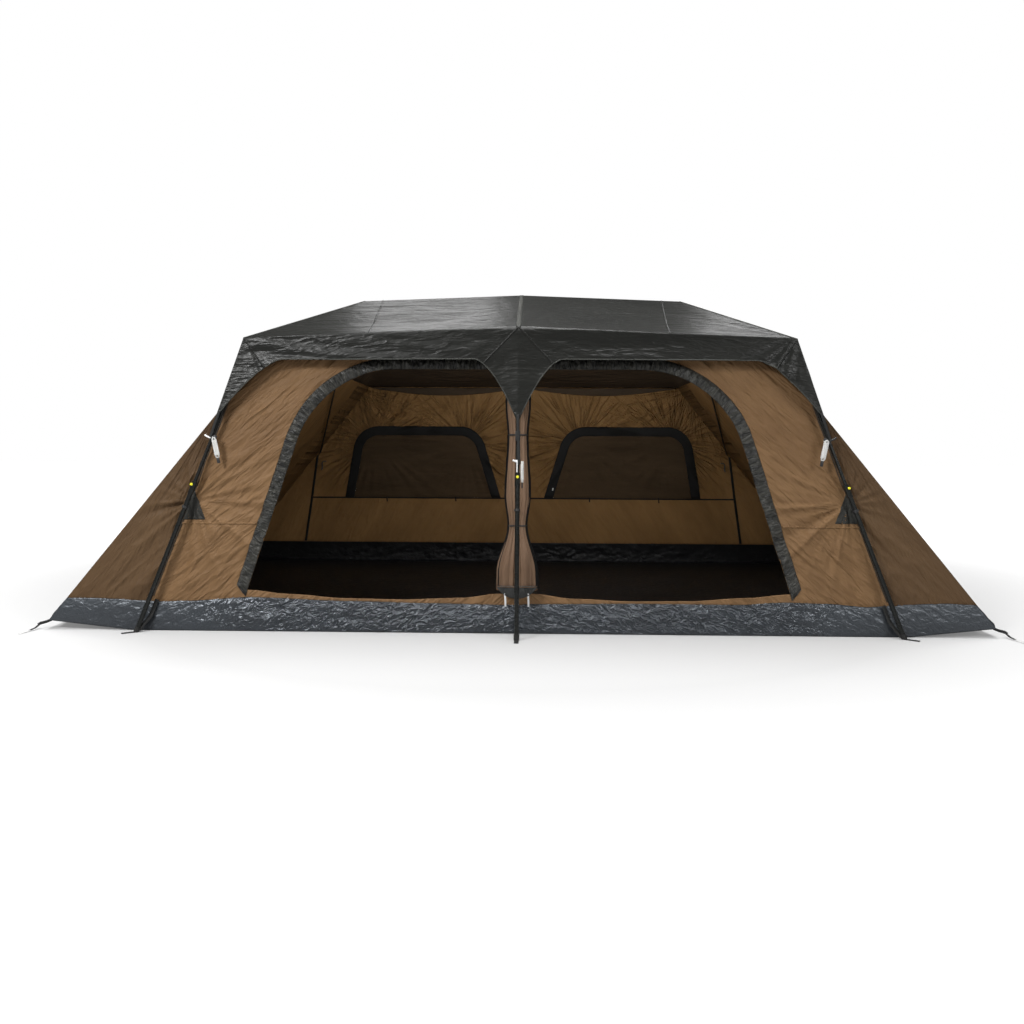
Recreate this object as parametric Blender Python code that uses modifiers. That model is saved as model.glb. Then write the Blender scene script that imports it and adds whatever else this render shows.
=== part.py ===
"""A family-size instant tent: a folding six-leg frame with its fly, inner tent and groundsheet.

Metres, +Z up. The origin is on the ground, under the middle of the tent. The doors face -Y, and the
back wall with its two windows faces +Y. Left and right are as seen from the front.
"""

import math

import bmesh
import bpy
from mathutils import Matrix, Vector

# Overall sizes of the frame, at the axes of its tubes
EAVE_Z = 1.578
ELBOW_X = 1.480
ELBOW_Y = 1.430
CENTRE_ELBOW_OUT = 0.052
CENTRE_ELBOW_UP = 0.054
FOOT_X = 2.080
FOOT_Y = 1.550
CENTRE_FOOT_OUT = 0.110
RIDGE_RISE = 0.488
SIDE_HUB_X = 1.075
SIDE_HUB_DROP = 0.042
CORNER_ELBOW = Vector((ELBOW_X, ELBOW_Y, EAVE_Z))
CENTRE_ELBOW = Vector((0.0, ELBOW_Y + CENTRE_ELBOW_OUT, EAVE_Z + CENTRE_ELBOW_UP))
CORNER_FOOT = Vector((FOOT_X, FOOT_Y, 0.0))
CENTRE_FOOT = Vector((0.0, FOOT_Y + CENTRE_FOOT_OUT, 0.0))
CENTRE_PIN_Z = EAVE_Z + RIDGE_RISE
SIDE_PIN_Z = CENTRE_PIN_Z - SIDE_HUB_DROP

# Clearances, and how far working solids run past or into each other
SEAT_GAP = 0.0003
BORE_GAP = 0.0005
EAR_GAP = 0.0004
MERGE = 0.00001
CUT_PAST = 0.010
JOIN_DEEP = 0.010

# Tubes and pins
UPPER_TUBE_R = 0.0095
LOWER_TUBE_WALL = 0.0025
LOWER_TUBE_R = UPPER_TUBE_R + BORE_GAP + LOWER_TUBE_WALL
TUBE_WALL = 0.0012
TUBE_SOLID_END = 0.045
PIN_R = 0.003
TUBE_SIDES = 12
PIN_SIDES = 7
ROUND_SIDES = 12
LINK_SIDES = 5

# Clevis joints: a flat tongue between two ears on a pin
TONGUE_HALF = 0.006
TONGUE_R = 0.0115
EAR_THICK = 0.004
EAR_R = 0.0115
EAR_TO_TUBE = 0.0095
TUBE_FROM_PIN = EAR_R + EAR_TO_TUBE

# Hubs and ridge poles
HUB_R = 0.032
HUB_HALF = 0.010
HUB_SIDES = 18
HUB_PIN_OUT = 0.014
HUB_PIN_R = HUB_R + HUB_PIN_OUT
HUB_EAR_BACK = 0.028
HUB_CAP_R = 0.012
HUB_CAP_TOP_R = 0.0084
RIDGE_OVER_PIN = 0.0015
RIDGE_OFFSET = UPPER_TUBE_R + RIDGE_OVER_PIN
RIDGE_FROM_PIN = 0.017
RIDGE_WEB_LONG = 0.031
RIDGE_BOSS_R = 0.008

# Elbows: a sleeve on the arm's end, with the leg's pin below it
SLEEVE_WALL = 0.0032
SLEEVE_R = UPPER_TUBE_R + SEAT_GAP + SLEEVE_WALL
SLEEVE_BACK = 0.060
SLEEVE_FRONT = 0.008
SLEEVE_BORE_END = 0.010
LEG_PIN_ALONG = 0.014
TONGUE_CLEAR = 0.0025
LEG_PIN_BELOW = SLEEVE_R + TONGUE_R + TONGUE_CLEAR
BACK_BAR_R = 0.010
BACK_BAR_CLEAR = 0.003
BACK_BAR_AT = TONGUE_R + BACK_BAR_CLEAR + BACK_BAR_R
BACK_BAR_AIM = 0.002
FOLDED_RISE = math.radians(83.0)

# Legs, measured along each leg from the ground
TUBE_OVERLAP = 0.120
BORE_SPARE = 0.015
BORE_FLOOR = 0.170
COLLAR_WALL = 0.003
COLLAR_R = LOWER_TUBE_R + COLLAR_WALL
COLLAR_TAPER = 0.001
COLLAR_SIDES = 16
COLLAR_BELOW_EAVE = 0.693
COLLAR_TOP = EAVE_Z - COLLAR_BELOW_EAVE
COLLAR_LONG = 0.070
COLLAR_LOW = COLLAR_TOP - COLLAR_LONG
BUTTON_BELOW_TOP = 0.021
BUTTON_AT = COLLAR_TOP - BUTTON_BELOW_TOP
LEG_TRAVEL = COLLAR_TOP - TUBE_OVERLAP - BORE_SPARE - BORE_FLOOR
BUTTON_R = 0.0080
BUTTON_TOP_R = 0.0068
BUTTON_OUTWARD = 0.60
BUTTON_TRAVEL = 0.003
BUTTON_CLEAR = 0.0007
BUTTON_PROUD = 0.0045
BUTTON_INNER = UPPER_TUBE_R + BUTTON_TRAVEL + BUTTON_CLEAR
BUTTON_OUTER = COLLAR_R + BUTTON_PROUD

# Feet: an end cap cut flat on the ground, and its webbing tab
LOWER_TUBE_FOOT = 0.030
FOOT_CAP_WALL = 0.0025
FOOT_R = LOWER_TUBE_R + FOOT_CAP_WALL
FOOT_BELOW = 0.030
TAB_HEADING = Vector((0.8, 0.6, 0.0))
TAB_LONG = 0.075
TAB_WIDE = 0.025
TAB_THICK = 0.0025
TAB_EYE_R = 0.006
TAB_EYE_IN = 0.014
GROUND_WIDE = 0.4
GROUND_DEEP = 0.1

# The inner tent's four leaning walls, given by their outer faces
CLOTH = 0.0015
WING_OUT = 0.554
FOOT_OFF_WALL = 0.050
ELBOW_PAST_WALL = 0.119
ELBOW_OFF_WALL = 0.028
WALL_BELOW_EAVE = 0.018
WALL_TOP = EAVE_Z - WALL_BELOW_EAVE
WALL_HALF_X = FOOT_X + WING_OUT
WALL_HALF_Y = FOOT_Y - FOOT_OFF_WALL
WALL_LEAN_X = (WALL_HALF_X - ELBOW_X + ELBOW_PAST_WALL) / WALL_TOP
WALL_LEAN_Y = (WALL_HALF_Y - ELBOW_Y + ELBOW_OFF_WALL) / WALL_TOP
TUB_TOP = 0.170
FLOOR_CUT_PAST_FOOT = 0.040
FLOOR_CUT_Y = 0.350
CORNER_LIFT = 0.050
CEILING_INSIDE_HUB = 0.075
CEILING_BELOW_PIN = 0.059
CEILING_RIDGE_X = SIDE_HUB_X - CEILING_INSIDE_HUB
CEILING_TOP = SIDE_PIN_Z - CEILING_BELOW_PIN

# Doors and windows, on the walls
DOOR_INNER_X = 0.045
DOOR_OVER_TUB = 0.035
DOOR_BELOW_WALL_TOP = 0.120
DOOR_INSIDE_FOOT = 0.588
DOOR_SILL = TUB_TOP + DOOR_OVER_TUB
DOOR_TOP = WALL_TOP - DOOR_BELOW_WALL_TOP
DOOR_LOW_X = FOOT_X - DOOR_INSIDE_FOOT
DOOR_SIDE_LEAN = 0.300
DOOR_CORNER_R = 0.420
WINDOW_SILL = 0.580
WINDOW_HIGH = 0.555
WINDOW_TOP = WINDOW_SILL + WINDOW_HIGH
WINDOW_LOW = (0.275, 1.515)
WINDOW_LEANS = (0.300, 0.190)
WINDOW_CORNER_R = 0.160
ARC_STEPS = 6

# The fly, by its seam lines, its tips and its arches
FLY_THICK = 0.002
FLY_OVER_PEAK = 0.034
FLY_PAST_SIDE_HUB = Vector((0.046, 0.0, 0.035))
FLY_OVER_CORNER = Vector((0.015, 0.019, 0.026))
FLY_OVER_CENTRE = Vector((0.0, 0.016, 0.027))
CORNER_TIP_DROP = 0.418
CENTRE_TIP_DROP = 0.490
CORNER_TIP_OUT = Vector((0.0165, 0.022, 0.0))
CENTRE_TIP_OUT = Vector((0.0, 0.025, 0.0))
FLY_PEAK = CENTRE_PIN_Z + FLY_OVER_PEAK
FLY_SIDE_HUB = Vector((SIDE_HUB_X, 0.0, SIDE_PIN_Z)) + FLY_PAST_SIDE_HUB
ARCH_BELOW_EAVE = 0.094
SIDE_ARCH_BELOW_EAVE = 0.128
ARCH_TOP = EAVE_Z - ARCH_BELOW_EAVE
SIDE_ARCH_TOP = EAVE_Z - SIDE_ARCH_BELOW_EAVE
ARCH_CENTRE_W = 0.240
ARCH_CORNER_W = 0.500
ARCH_BEND = 1.7
FLY_OFF_WALL = 0.006
SIDE_EAVE_OUT = 0.012
SIDE_EAVE_SAG = 0.004
FRONT_NEAR_CENTRE = (0.0, 0.025, 0.060, 0.105, 0.165, 0.260)
FRONT_BETWEEN = 2
FRONT_NEAR_CORNER = (0.395, 0.245, 0.125)
SIDE_STEPS = 10
CORNER_STEPS = 3

# Straps, sewn on with this much of the cloth's thickness above them
SEWN_IN = 0.7
STRAP_THICK = 0.002
STRAP_WIDE = 0.020
CORNER_STRAP_INSET = Vector((-0.012, -0.010, 0.006))
CORNER_STRAP_OUT = Vector((0.036, 0.080, 0.0))
CORNER_STRAP_DROP = 0.115
CENTRE_STRAP_DROP = 0.217
TIP_STRAP_UP = 0.050
STRAP_CLEAR = 0.002
STRAP_OFF_LEG = UPPER_TUBE_R + STRAP_CLEAR + STRAP_THICK / 2
CORNER_STRAP_ASIDE = -0.003
CENTRE_STRAP_ASIDE = 0.008

# Rolled doors beside the centre leg: (height, reach from the middle), drawn in at the two ties
ROLL_INSET = 0.040
ROLL_TOP = DOOR_TOP - ROLL_INSET
ROLL_LOW = DOOR_SILL + ROLL_INSET
ROLL_EDGES = (
    (1.250, 0.060),
    (1.084, 0.048),
    (0.757, 0.063),
    (0.593, 0.045),
    (0.342, 0.106),
    (0.245, 0.108),
)
ROLL_GAP = 0.006
ROLL_SIDES = 30
ROLL_LEVELS = 13
ROLL_DEEP = 0.010
ROLL_DEEP_TO_WIDE = 0.5
ROLL_FOLDS = 5
ROLL_FOLD_DEPTH = 0.20
ROLL_FOLD_TURN = 0.4

# Guy lines, each wound in a hank
CORD_R = 0.00125
CORD_PITCH = 0.0035
HANK_LONG = 0.118
HANK_INNER_R = 0.0050
HANK_LAYERS = 4
HANK_TURNS = 1.5
HANK_CLIMB = 0.5
HANK_POINTS_A_TURN = 24
HANK_ABOVE = 0.020
HANK_INBOARD = 0.019
HANK_BEHIND = 0.008
HANK_TILT = math.radians(10.7)
GAP_STEPS = 4

TOOLS = None
TENT = None


def start_scene():
    """An empty scene with a collection for the tent and a hidden one for working solids."""
    global TOOLS, TENT
    for item in list(bpy.data.objects):
        bpy.data.objects.remove(item, do_unlink=True)
    TENT = bpy.data.collections.new("instant_tent")
    TOOLS = bpy.data.collections.new("working_solids")
    bpy.context.scene.collection.children.link(TENT)
    bpy.context.scene.collection.children.link(TOOLS)


def finish(name, colour, roughness, metallic=0.0):
    """One plain surface finish."""
    material = bpy.data.materials.new(name)
    material.use_nodes = True
    shader = material.node_tree.nodes["Principled BSDF"]
    shader.inputs["Base Color"].default_value = (*colour, 1.0)
    shader.inputs["Roughness"].default_value = roughness
    shader.inputs["Metallic"].default_value = metallic
    return material


def working(mesh):
    """A hidden object that a Boolean reads."""
    item = bpy.data.objects.new("working", mesh)
    TOOLS.objects.link(item)
    item.hide_render = True
    item.display_type = "WIRE"
    return item


def to_object(bm):
    """A hidden object from a closed mesh, whose faces are first all turned outwards."""
    bmesh.ops.recalc_face_normals(bm, faces=bm.faces)
    if bm.calc_volume(signed=True) < 0.0:
        bmesh.ops.reverse_faces(bm, faces=bm.faces)
    mesh = bpy.data.meshes.new("working")
    bm.to_mesh(mesh)
    bm.free()
    return working(mesh)


def facing(axis, hint=None):
    """A turn that takes +Z to the axis, and +X as near to the hint as it can be."""
    z = axis.normalized()
    near = hint if hint is not None else Vector((0.0, 0.0, 1.0))
    if abs(near.normalized().dot(z)) > 0.99:
        near = Vector((1.0, 0.0, 0.0))
    x = (near - near.dot(z) * z).normalized()
    y = z.cross(x)
    return Matrix((x, y, z)).transposed().to_4x4()


def rod(start, end, radius, sides=TUBE_SIDES, end_radius=None):
    """A cylinder or cone between two points."""
    bm = bmesh.new()
    along = end - start
    bmesh.ops.create_cone(
        bm,
        cap_ends=True,
        segments=sides,
        radius1=radius,
        radius2=radius if end_radius is None else end_radius,
        depth=along.length,
    )
    bm.transform(Matrix.Translation((start + end) / 2) @ facing(along))
    return to_object(bm)


def disc(centre, axis, half, radius, sides=ROUND_SIDES):
    """A cylinder about an axis, by its centre and half its height."""
    way = axis.normalized() * half
    return rod(centre - way, centre + way, radius, sides)


def block(start, end, across, width, thick):
    """A bar between two points: its width lies across the given axis and its thickness along it."""
    along = end - start
    bm = bmesh.new()
    bmesh.ops.create_cube(bm, size=1.0)
    bmesh.ops.scale(bm, vec=(thick, width, along.length), verts=bm.verts)
    bm.transform(Matrix.Translation((start + end) / 2) @ facing(along, across))
    return to_object(bm)


def link(start, end, axis, radius, half):
    """A flat bar with round ends: the outline of two equal circles, thick along the axis."""
    way = (end - start).normalized()
    side = axis.normalized().cross(way)
    bm = bmesh.new()
    ring = []
    for centre, turn in ((end, 0.0), (start, math.pi)):
        for k in range(LINK_SIDES + 1):
            angle = turn + math.pi * (k / LINK_SIDES - 0.5)
            at = centre + radius * (math.cos(angle) * way + math.sin(angle) * side)
            ring.append(bm.verts.new(at - axis.normalized() * half))
    made = bmesh.ops.extrude_face_region(bm, geom=[bm.faces.new(ring)])
    moved = [item for item in made["geom"] if isinstance(item, bmesh.types.BMVert)]
    bmesh.ops.translate(bm, vec=axis.normalized() * 2 * half, verts=moved)
    return to_object(bm)


def place(item, name, material, pivot=None):
    """Names the finished piece, moves its origin to its joint's pivot and files it with the tent."""
    if pivot is not None:
        item.data.transform(Matrix.Translation(-pivot))
        item.location = pivot
    item.name = name
    item.data.name = name
    item.hide_render = False
    item.display_type = "TEXTURED"
    item.data.materials.clear()
    item.data.materials.append(material)
    if item.name in TOOLS.objects:
        TOOLS.objects.unlink(item)
    if item.name not in TENT.objects:
        TENT.objects.link(item)
    item.data.shade_smooth()
    item.data.set_sharp_from_angle(angle=math.radians(35.0))
    return item


def evaluated(item):
    """The object's mesh with its modifiers applied, as a new hidden object in its place."""
    graph = bpy.context.evaluated_depsgraph_get()
    mesh = bpy.data.meshes.new_from_object(item.evaluated_get(graph))
    mesh.transform(item.matrix_world)
    fresh = working(mesh)
    bpy.data.objects.remove(item, do_unlink=True)
    return fresh


def fused(solids, cuts=()):
    """Joins the solids into one body, then takes the cuts from it."""
    base = solids[0]
    for operation, others in (("UNION", solids[1:]), ("DIFFERENCE", cuts)):
        for other in others:
            step = base.modifiers.new(operation.lower(), "BOOLEAN")
            step.operation = operation
            step.object = other
    bpy.context.view_layer.update()
    made = evaluated(base)
    for other in (*solids[1:], *cuts):
        bpy.data.objects.remove(other, do_unlink=True)
    bm = bmesh.new()
    bm.from_mesh(made.data)
    bmesh.ops.remove_doubles(bm, verts=bm.verts, dist=MERGE)
    bm.to_mesh(made.data)
    bm.free()
    return made


def ears(pin, axis, back, reach):
    """Two ears and the pin between them: they run from the pin towards the back point."""
    out = TONGUE_HALF + EAR_GAP + EAR_THICK / 2
    heading = (back - pin).normalized()
    solids = []
    for side in (-1, 1):
        middle = pin + axis * (side * out)
        solids.append(link(middle, middle + heading * reach, axis, EAR_R, EAR_THICK / 2))
    solids.append(disc(pin, axis, out, PIN_R, PIN_SIDES))
    return solids


def tongue(pin, axis, towards, reach):
    """The flat tongue on a pin, and the hole through it."""
    bar = link(pin, pin + towards.normalized() * reach, axis, TONGUE_R, TONGUE_HALF)
    hole = disc(pin, axis, TONGUE_HALF + CUT_PAST, PIN_R + 2 * SEAT_GAP, PIN_SIDES)
    return [bar], hole


class Leg:
    """The places of one leg and its roof arm, for the given side and end of the tent."""

    def __init__(self, name, side, end):
        self.name = name
        self.side = side
        self.end = end
        flip = Vector((side, end, 1.0)) if side else Vector((1.0, end, 1.0))
        elbow = CORNER_ELBOW if side else CENTRE_ELBOW
        foot = CORNER_FOOT if side else CENTRE_FOOT
        self.elbow = Vector(a * b for a, b in zip(elbow, flip))
        self.foot = Vector(a * b for a, b in zip(foot, flip))
        self.hub = Vector((side * SIDE_HUB_X, 0.0, SIDE_PIN_Z if side else CENTRE_PIN_Z))
        self.plan = (self.elbow - self.hub).to_2d().normalized().to_3d()
        self.hub_pin = self.hub + self.plan * HUB_PIN_R
        self.arm = (self.elbow - self.hub_pin).normalized()
        self.hub_axis = self.plan.cross(Vector((0.0, 0.0, 1.0))).normalized()
        up = Vector((0.0, 0.0, 1.0))
        self.below = (self.arm * up.dot(self.arm) - up).normalized()
        self.leg_pin = self.elbow + self.arm * LEG_PIN_ALONG + self.below * LEG_PIN_BELOW
        self.down = (self.foot - self.leg_pin).normalized()
        slope = math.atan2(-self.arm.z, self.arm.to_2d().length)
        self.arm_swing = FOLDED_RISE + slope
        turn = Matrix.Rotation(self.arm_swing, 3, self.hub_axis)
        self.folded = turn.inverted() @ Vector((0.0, 0.0, -1.0))
        self.leg_axis = self.down.cross(self.folded).normalized()
        self.leg_swing = self.down.angle(self.folded)
        self.front = Vector((0.0, end, 0.0))
        outward = Vector((side * BUTTON_OUTWARD, end, 0.0))
        self.push = (outward - self.down * outward.dot(self.down)).normalized()

    def at(self, height):
        """The point of the leg's axis at this distance along it from the ground."""
        return self.foot - self.down * height


LEGS = [
    Leg("front_left", -1, -1),
    Leg("front_centre", 0, -1),
    Leg("front_right", 1, -1),
    Leg("back_left", -1, 1),
    Leg("back_centre", 0, 1),
    Leg("back_right", 1, 1),
]
FRONT_CENTRE = LEGS[1]
FRONT_RIGHT = LEGS[2]


class Ridge:
    """The pins of one ridge pole, from the centre hub to a side hub."""

    def __init__(self, name, side):
        self.name = name
        self.side = side
        self.inner_pin = Vector((side * HUB_PIN_R, 0.0, CENTRE_PIN_Z))
        self.outer_pin = Vector((side * (SIDE_HUB_X - HUB_PIN_R), 0.0, SIDE_PIN_Z))
        self.middle = (self.inner_pin + self.outer_pin) / 2
        self.along = (self.outer_pin - self.inner_pin).normalized()
        self.up = Vector((-self.along.z * side, 0.0, abs(self.along.x)))
        self.axis = Vector((0.0, 1.0, 0.0))


RIDGES = [Ridge("left", -1), Ridge("right", 1)]


def fly_underside(x):
    """The height of the fly's underside over the ridge, as low as it comes within a hub's cap."""
    ridge = FLY_PEAK + (FLY_SIDE_HUB.z - FLY_PEAK) * x / FLY_SIDE_HUB.x
    eave = fly_eave(FRONT_CENTRE)
    fall = math.hypot((FLY_PEAK - eave.z) / -eave.y, (FLY_PEAK - FLY_SIDE_HUB.z) / FLY_SIDE_HUB.x)
    return ridge - FLY_THICK * math.hypot(1.0, fall) - HUB_CAP_TOP_R * fall


def make_hub(name, centre, pins, material):
    """A moulded hub: a disc with a pair of ears for each pole, and a cap under the fly."""
    low = centre - Vector((0.0, 0.0, HUB_HALF))
    high = centre + Vector((0.0, 0.0, HUB_HALF))
    solids = [rod(low, high, HUB_R, HUB_SIDES)]
    cap_top = Vector((centre.x, centre.y, fly_underside(abs(centre.x)) - SEAT_GAP))
    solids.append(rod(centre, cap_top, HUB_CAP_R, ROUND_SIDES, HUB_CAP_TOP_R))
    for pin, axis in pins:
        solids += ears(pin, axis, centre, HUB_EAR_BACK)
    return place(fused(solids), name, material, centre)


def make_hubs(material):
    """The three hubs of the ridge."""
    for side, name in ((0, "centre_hub"), (-1, "left_hub"), (1, "right_hub")):
        centre = Vector((side * SIDE_HUB_X, 0.0, SIDE_PIN_Z if side else CENTRE_PIN_Z))
        pins = [(leg.hub_pin, leg.hub_axis) for leg in LEGS if leg.side == side]
        if side:
            pins += [(r.outer_pin, r.axis) for r in RIDGES if r.side == side]
        else:
            pins += [(r.inner_pin, r.axis) for r in RIDGES]
        make_hub(name, centre, pins, material)


def make_ridges(material):
    """Each ridge pole is two halves on a hinge, which folds upwards."""
    for ridge in RIDGES:
        lift = ridge.up * RIDGE_OFFSET
        for half, hub_pin, way in (
            ("inner", ridge.inner_pin, ridge.along),
            ("outer", ridge.outer_pin, -ridge.along),
        ):
            start = hub_pin + way * RIDGE_FROM_PIN + lift
            end = ridge.middle - way * RIDGE_FROM_PIN + lift
            solids = [rod(start, end, UPPER_TUBE_R)]
            web = way * RIDGE_WEB_LONG + lift
            near, hole = tongue(hub_pin, ridge.axis, web, web.length)
            holes = [hole]
            web = lift - way * RIDGE_WEB_LONG
            if half == "inner":
                back = ridge.middle + web
                near += ears(ridge.middle, ridge.axis, back, web.length)
                near.append(disc(back, ridge.axis, TONGUE_HALF + EAR_GAP + EAR_THICK / 2, RIDGE_BOSS_R))
                pivot = ridge.inner_pin
            else:
                far, hole = tongue(ridge.middle, ridge.axis, web, web.length)
                near += far
                holes.append(hole)
                pivot = ridge.middle
            made = fused(solids + near, holes)
            place(made, f"ridge_pole_{ridge.name}_{half}", material, pivot)


def swinging_tube(pin, axis, way, end):
    """A hollow tube that is open at its far end, on a tongue that swings about a pin."""
    tube = rod(pin + way * TUBE_FROM_PIN, end, UPPER_TUBE_R)
    near, hole = tongue(pin, axis, way, TUBE_FROM_PIN + JOIN_DEEP)
    bore = rod(pin + way * TUBE_SOLID_END, end + way * CUT_PAST, UPPER_TUBE_R - TUBE_WALL)
    return fused([tube, *near], [hole, bore])


def make_arm(leg, material):
    """A roof arm, from its hub pin to the elbow's sleeve."""
    end = leg.elbow - leg.arm * (SLEEVE_BORE_END + SEAT_GAP)
    arm = swinging_tube(leg.hub_pin, leg.hub_axis, leg.arm, end)
    place(arm, f"roof_arm_{leg.name}", material, leg.hub_pin)


def make_elbow(leg, material):
    """A moulded elbow: a sleeve on the arm's end and two ears for the leg's pin."""
    sleeve = rod(leg.elbow - leg.arm * SLEEVE_BACK, leg.elbow + leg.arm * SLEEVE_FRONT, SLEEVE_R)
    bore = rod(
        leg.elbow - leg.arm * (SLEEVE_BACK + CUT_PAST),
        leg.elbow - leg.arm * SLEEVE_BORE_END,
        UPPER_TUBE_R + SEAT_GAP,
    )
    to_arm = leg.elbow - leg.arm * BACK_BAR_AIM - leg.leg_pin
    back = (to_arm - leg.leg_axis * to_arm.dot(leg.leg_axis)).normalized()
    bar_at = leg.leg_pin + back * BACK_BAR_AT
    half = TONGUE_HALF + EAR_GAP + EAR_THICK
    solids = [sleeve, *ears(leg.leg_pin, leg.leg_axis, bar_at, BACK_BAR_AT)]
    solids.append(disc(bar_at, leg.leg_axis, half, BACK_BAR_R))
    place(fused(solids, [bore]), f"elbow_{leg.name}", material, leg.hub_pin)


def make_upper_leg(leg, material):
    """The leg's upper tube, which hangs from the elbow and slides in the lower tube."""
    end = leg.at(COLLAR_TOP - TUBE_OVERLAP)
    upper = swinging_tube(leg.leg_pin, leg.leg_axis, leg.down, end)
    place(upper, f"upper_leg_{leg.name}", material, leg.leg_pin)


def make_lower_leg(leg, material):
    """The leg's lower tube with its collar, bored for the upper tube and pierced for the button."""
    tube = rod(leg.at(LOWER_TUBE_FOOT + SEAT_GAP), leg.at(COLLAR_LOW + JOIN_DEEP), LOWER_TUBE_R)
    collar = rod(leg.at(COLLAR_LOW), leg.at(COLLAR_TOP), COLLAR_R, COLLAR_SIDES, COLLAR_R - COLLAR_TAPER)
    bore = rod(leg.at(BORE_FLOOR), leg.at(COLLAR_TOP + CUT_PAST), UPPER_TUBE_R + BORE_GAP)
    seat = leg.at(BUTTON_AT)
    hole = rod(seat, seat + leg.push * (COLLAR_R + CUT_PAST), BUTTON_R + SEAT_GAP)
    place(fused([tube, collar], [bore, hole]), f"lower_leg_{leg.name}", material, leg.at(COLLAR_TOP))


def make_button(leg, material):
    """The lock button in the collar, which is pressed towards the leg."""
    seat = leg.at(BUTTON_AT)
    inner = seat + leg.push * BUTTON_INNER
    outer = seat + leg.push * BUTTON_OUTER
    body = rod(inner, outer, BUTTON_R, TUBE_SIDES, BUTTON_TOP_R)
    place(body, f"lock_button_{leg.name}", material, seat)


def make_foot(leg, material):
    """The end cap, cut flat on the ground, with the webbing tab for a peg."""
    up = Vector((0.0, 0.0, 1.0))
    cap = rod(leg.at(-FOOT_BELOW), leg.at(LOWER_TUBE_FOOT), FOOT_R)
    outward = Vector((TAB_HEADING.x * leg.side, TAB_HEADING.y * leg.end, 0.0)) if leg.side else leg.front
    start = leg.foot + up * (TAB_THICK / 2)
    tab = block(start, start + outward * TAB_LONG, up, TAB_WIDE, TAB_THICK)
    eye_at = leg.foot + outward * (TAB_LONG - TAB_EYE_IN)
    eye = rod(eye_at - up * CUT_PAST, eye_at + up * CUT_PAST, TAB_EYE_R)
    ground = block(leg.foot - up * GROUND_DEEP, leg.foot, Vector((1.0, 0.0, 0.0)), GROUND_WIDE, GROUND_WIDE)
    place(fused([cap, tab], [ground, eye]), f"foot_{leg.name}", material, leg.foot)


def wall_x(z):
    return WALL_HALF_X - WALL_LEAN_X * z


def wall_y(z):
    return WALL_HALF_Y - WALL_LEAN_Y * z


def corner(centre_x, centre_z, radius, start, end):
    """Points of an arc in the X-Z plane, by angles in degrees from +X towards +Z."""
    steps = [start + (end - start) * k / ARC_STEPS for k in range(ARC_STEPS + 1)]
    return [
        (centre_x + radius * math.cos(math.radians(a)), centre_z + radius * math.sin(math.radians(a)))
        for a in steps
    ]


def leaning_corner(low_x, low_z, top_z, lean, radius, side):
    """The arc between a side that leans inwards and a level top. Side is 1 for the corner at +X."""
    tilt = math.atan(lean)
    centre_z = top_z - radius
    reach = radius / math.cos(tilt)
    centre_x = low_x - side * (lean * (centre_z - low_z) + reach)
    first, last = math.degrees(tilt), 90.0
    points = corner(0.0, 0.0, radius, first, last)
    return [(centre_x + side * x, centre_z + z) for x, z in points]


def door_outline():
    """The right door's opening: upright at the centre leg, leaning and rounded on the outer side."""
    rounded = leaning_corner(DOOR_LOW_X, DOOR_SILL, DOOR_TOP, DOOR_SIDE_LEAN, DOOR_CORNER_R, 1)
    return [(DOOR_INNER_X, DOOR_SILL), (DOOR_LOW_X, DOOR_SILL), *rounded, (DOOR_INNER_X, DOOR_TOP)]


def window_outline(shrink=0.0):
    """The right window's opening, wider at its sill. Shrink draws every side in."""
    low, high = WINDOW_SILL + shrink, WINDOW_TOP - shrink
    inner, outer = WINDOW_LEANS
    left = WINDOW_LOW[0] + shrink * (math.hypot(1.0, inner) + inner)
    right = WINDOW_LOW[1] - shrink * (math.hypot(1.0, outer) + outer)
    radius = WINDOW_CORNER_R - shrink
    up_right = leaning_corner(right, low, high, outer, radius, 1)
    up_left = leaning_corner(left, low, high, inner, radius, -1)
    return [(left, low), (right, low), *up_right, *reversed(up_left)]


def panel(outline, end, holes=(), thick=CLOTH):
    """A flat wall of cloth in the front or back plane, from outlines in X and Z. It is thick inwards."""
    bm = bmesh.new()

    def ring(points):
        verts = [bm.verts.new((x, end * wall_y(z), z)) for x, z in points]
        return [bm.edges.new((verts[k], verts[k - 1])) for k in range(len(verts))]

    edges = ring(outline)
    for hole in holes:
        edges += ring(hole)
    bmesh.ops.triangle_fill(bm, use_beauty=True, use_dissolve=False, edges=edges)
    faces = bmesh.ops.extrude_face_region(bm, geom=list(bm.faces))
    moved = [item for item in faces["geom"] if isinstance(item, bmesh.types.BMVert)]
    inward = Vector((0.0, -end, -WALL_LEAN_Y)).normalized() * thick
    bmesh.ops.translate(bm, vec=inward, verts=moved)
    return to_object(bm)


def make_front_wall(material):
    """The front wall, with its two door openings."""
    low, high = TUB_TOP + SEAT_GAP, WALL_TOP
    outline = [(-wall_x(low), low), (wall_x(low), low), (wall_x(high), high), (-wall_x(high), high)]
    right = door_outline()
    left = [(-x, z) for x, z in right]
    place(panel(outline, -1, [right, left]), "front_wall", material)


def make_back_wall(wall, window):
    """The back wall, and its two window panels that fill their openings."""
    low, high = TUB_TOP + SEAT_GAP, WALL_TOP
    outline = [(-wall_x(low), low), (wall_x(low), low), (wall_x(high), high), (-wall_x(high), high)]
    right = window_outline()
    left = [(-x, z) for x, z in right]
    place(panel(outline, 1, [right, left]), "back_wall", wall)
    pane = window_outline(SEAT_GAP)
    place(panel([(-x, z) for x, z in pane], 1), "window_left", window)
    place(panel(pane, 1), "window_right", window)


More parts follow.
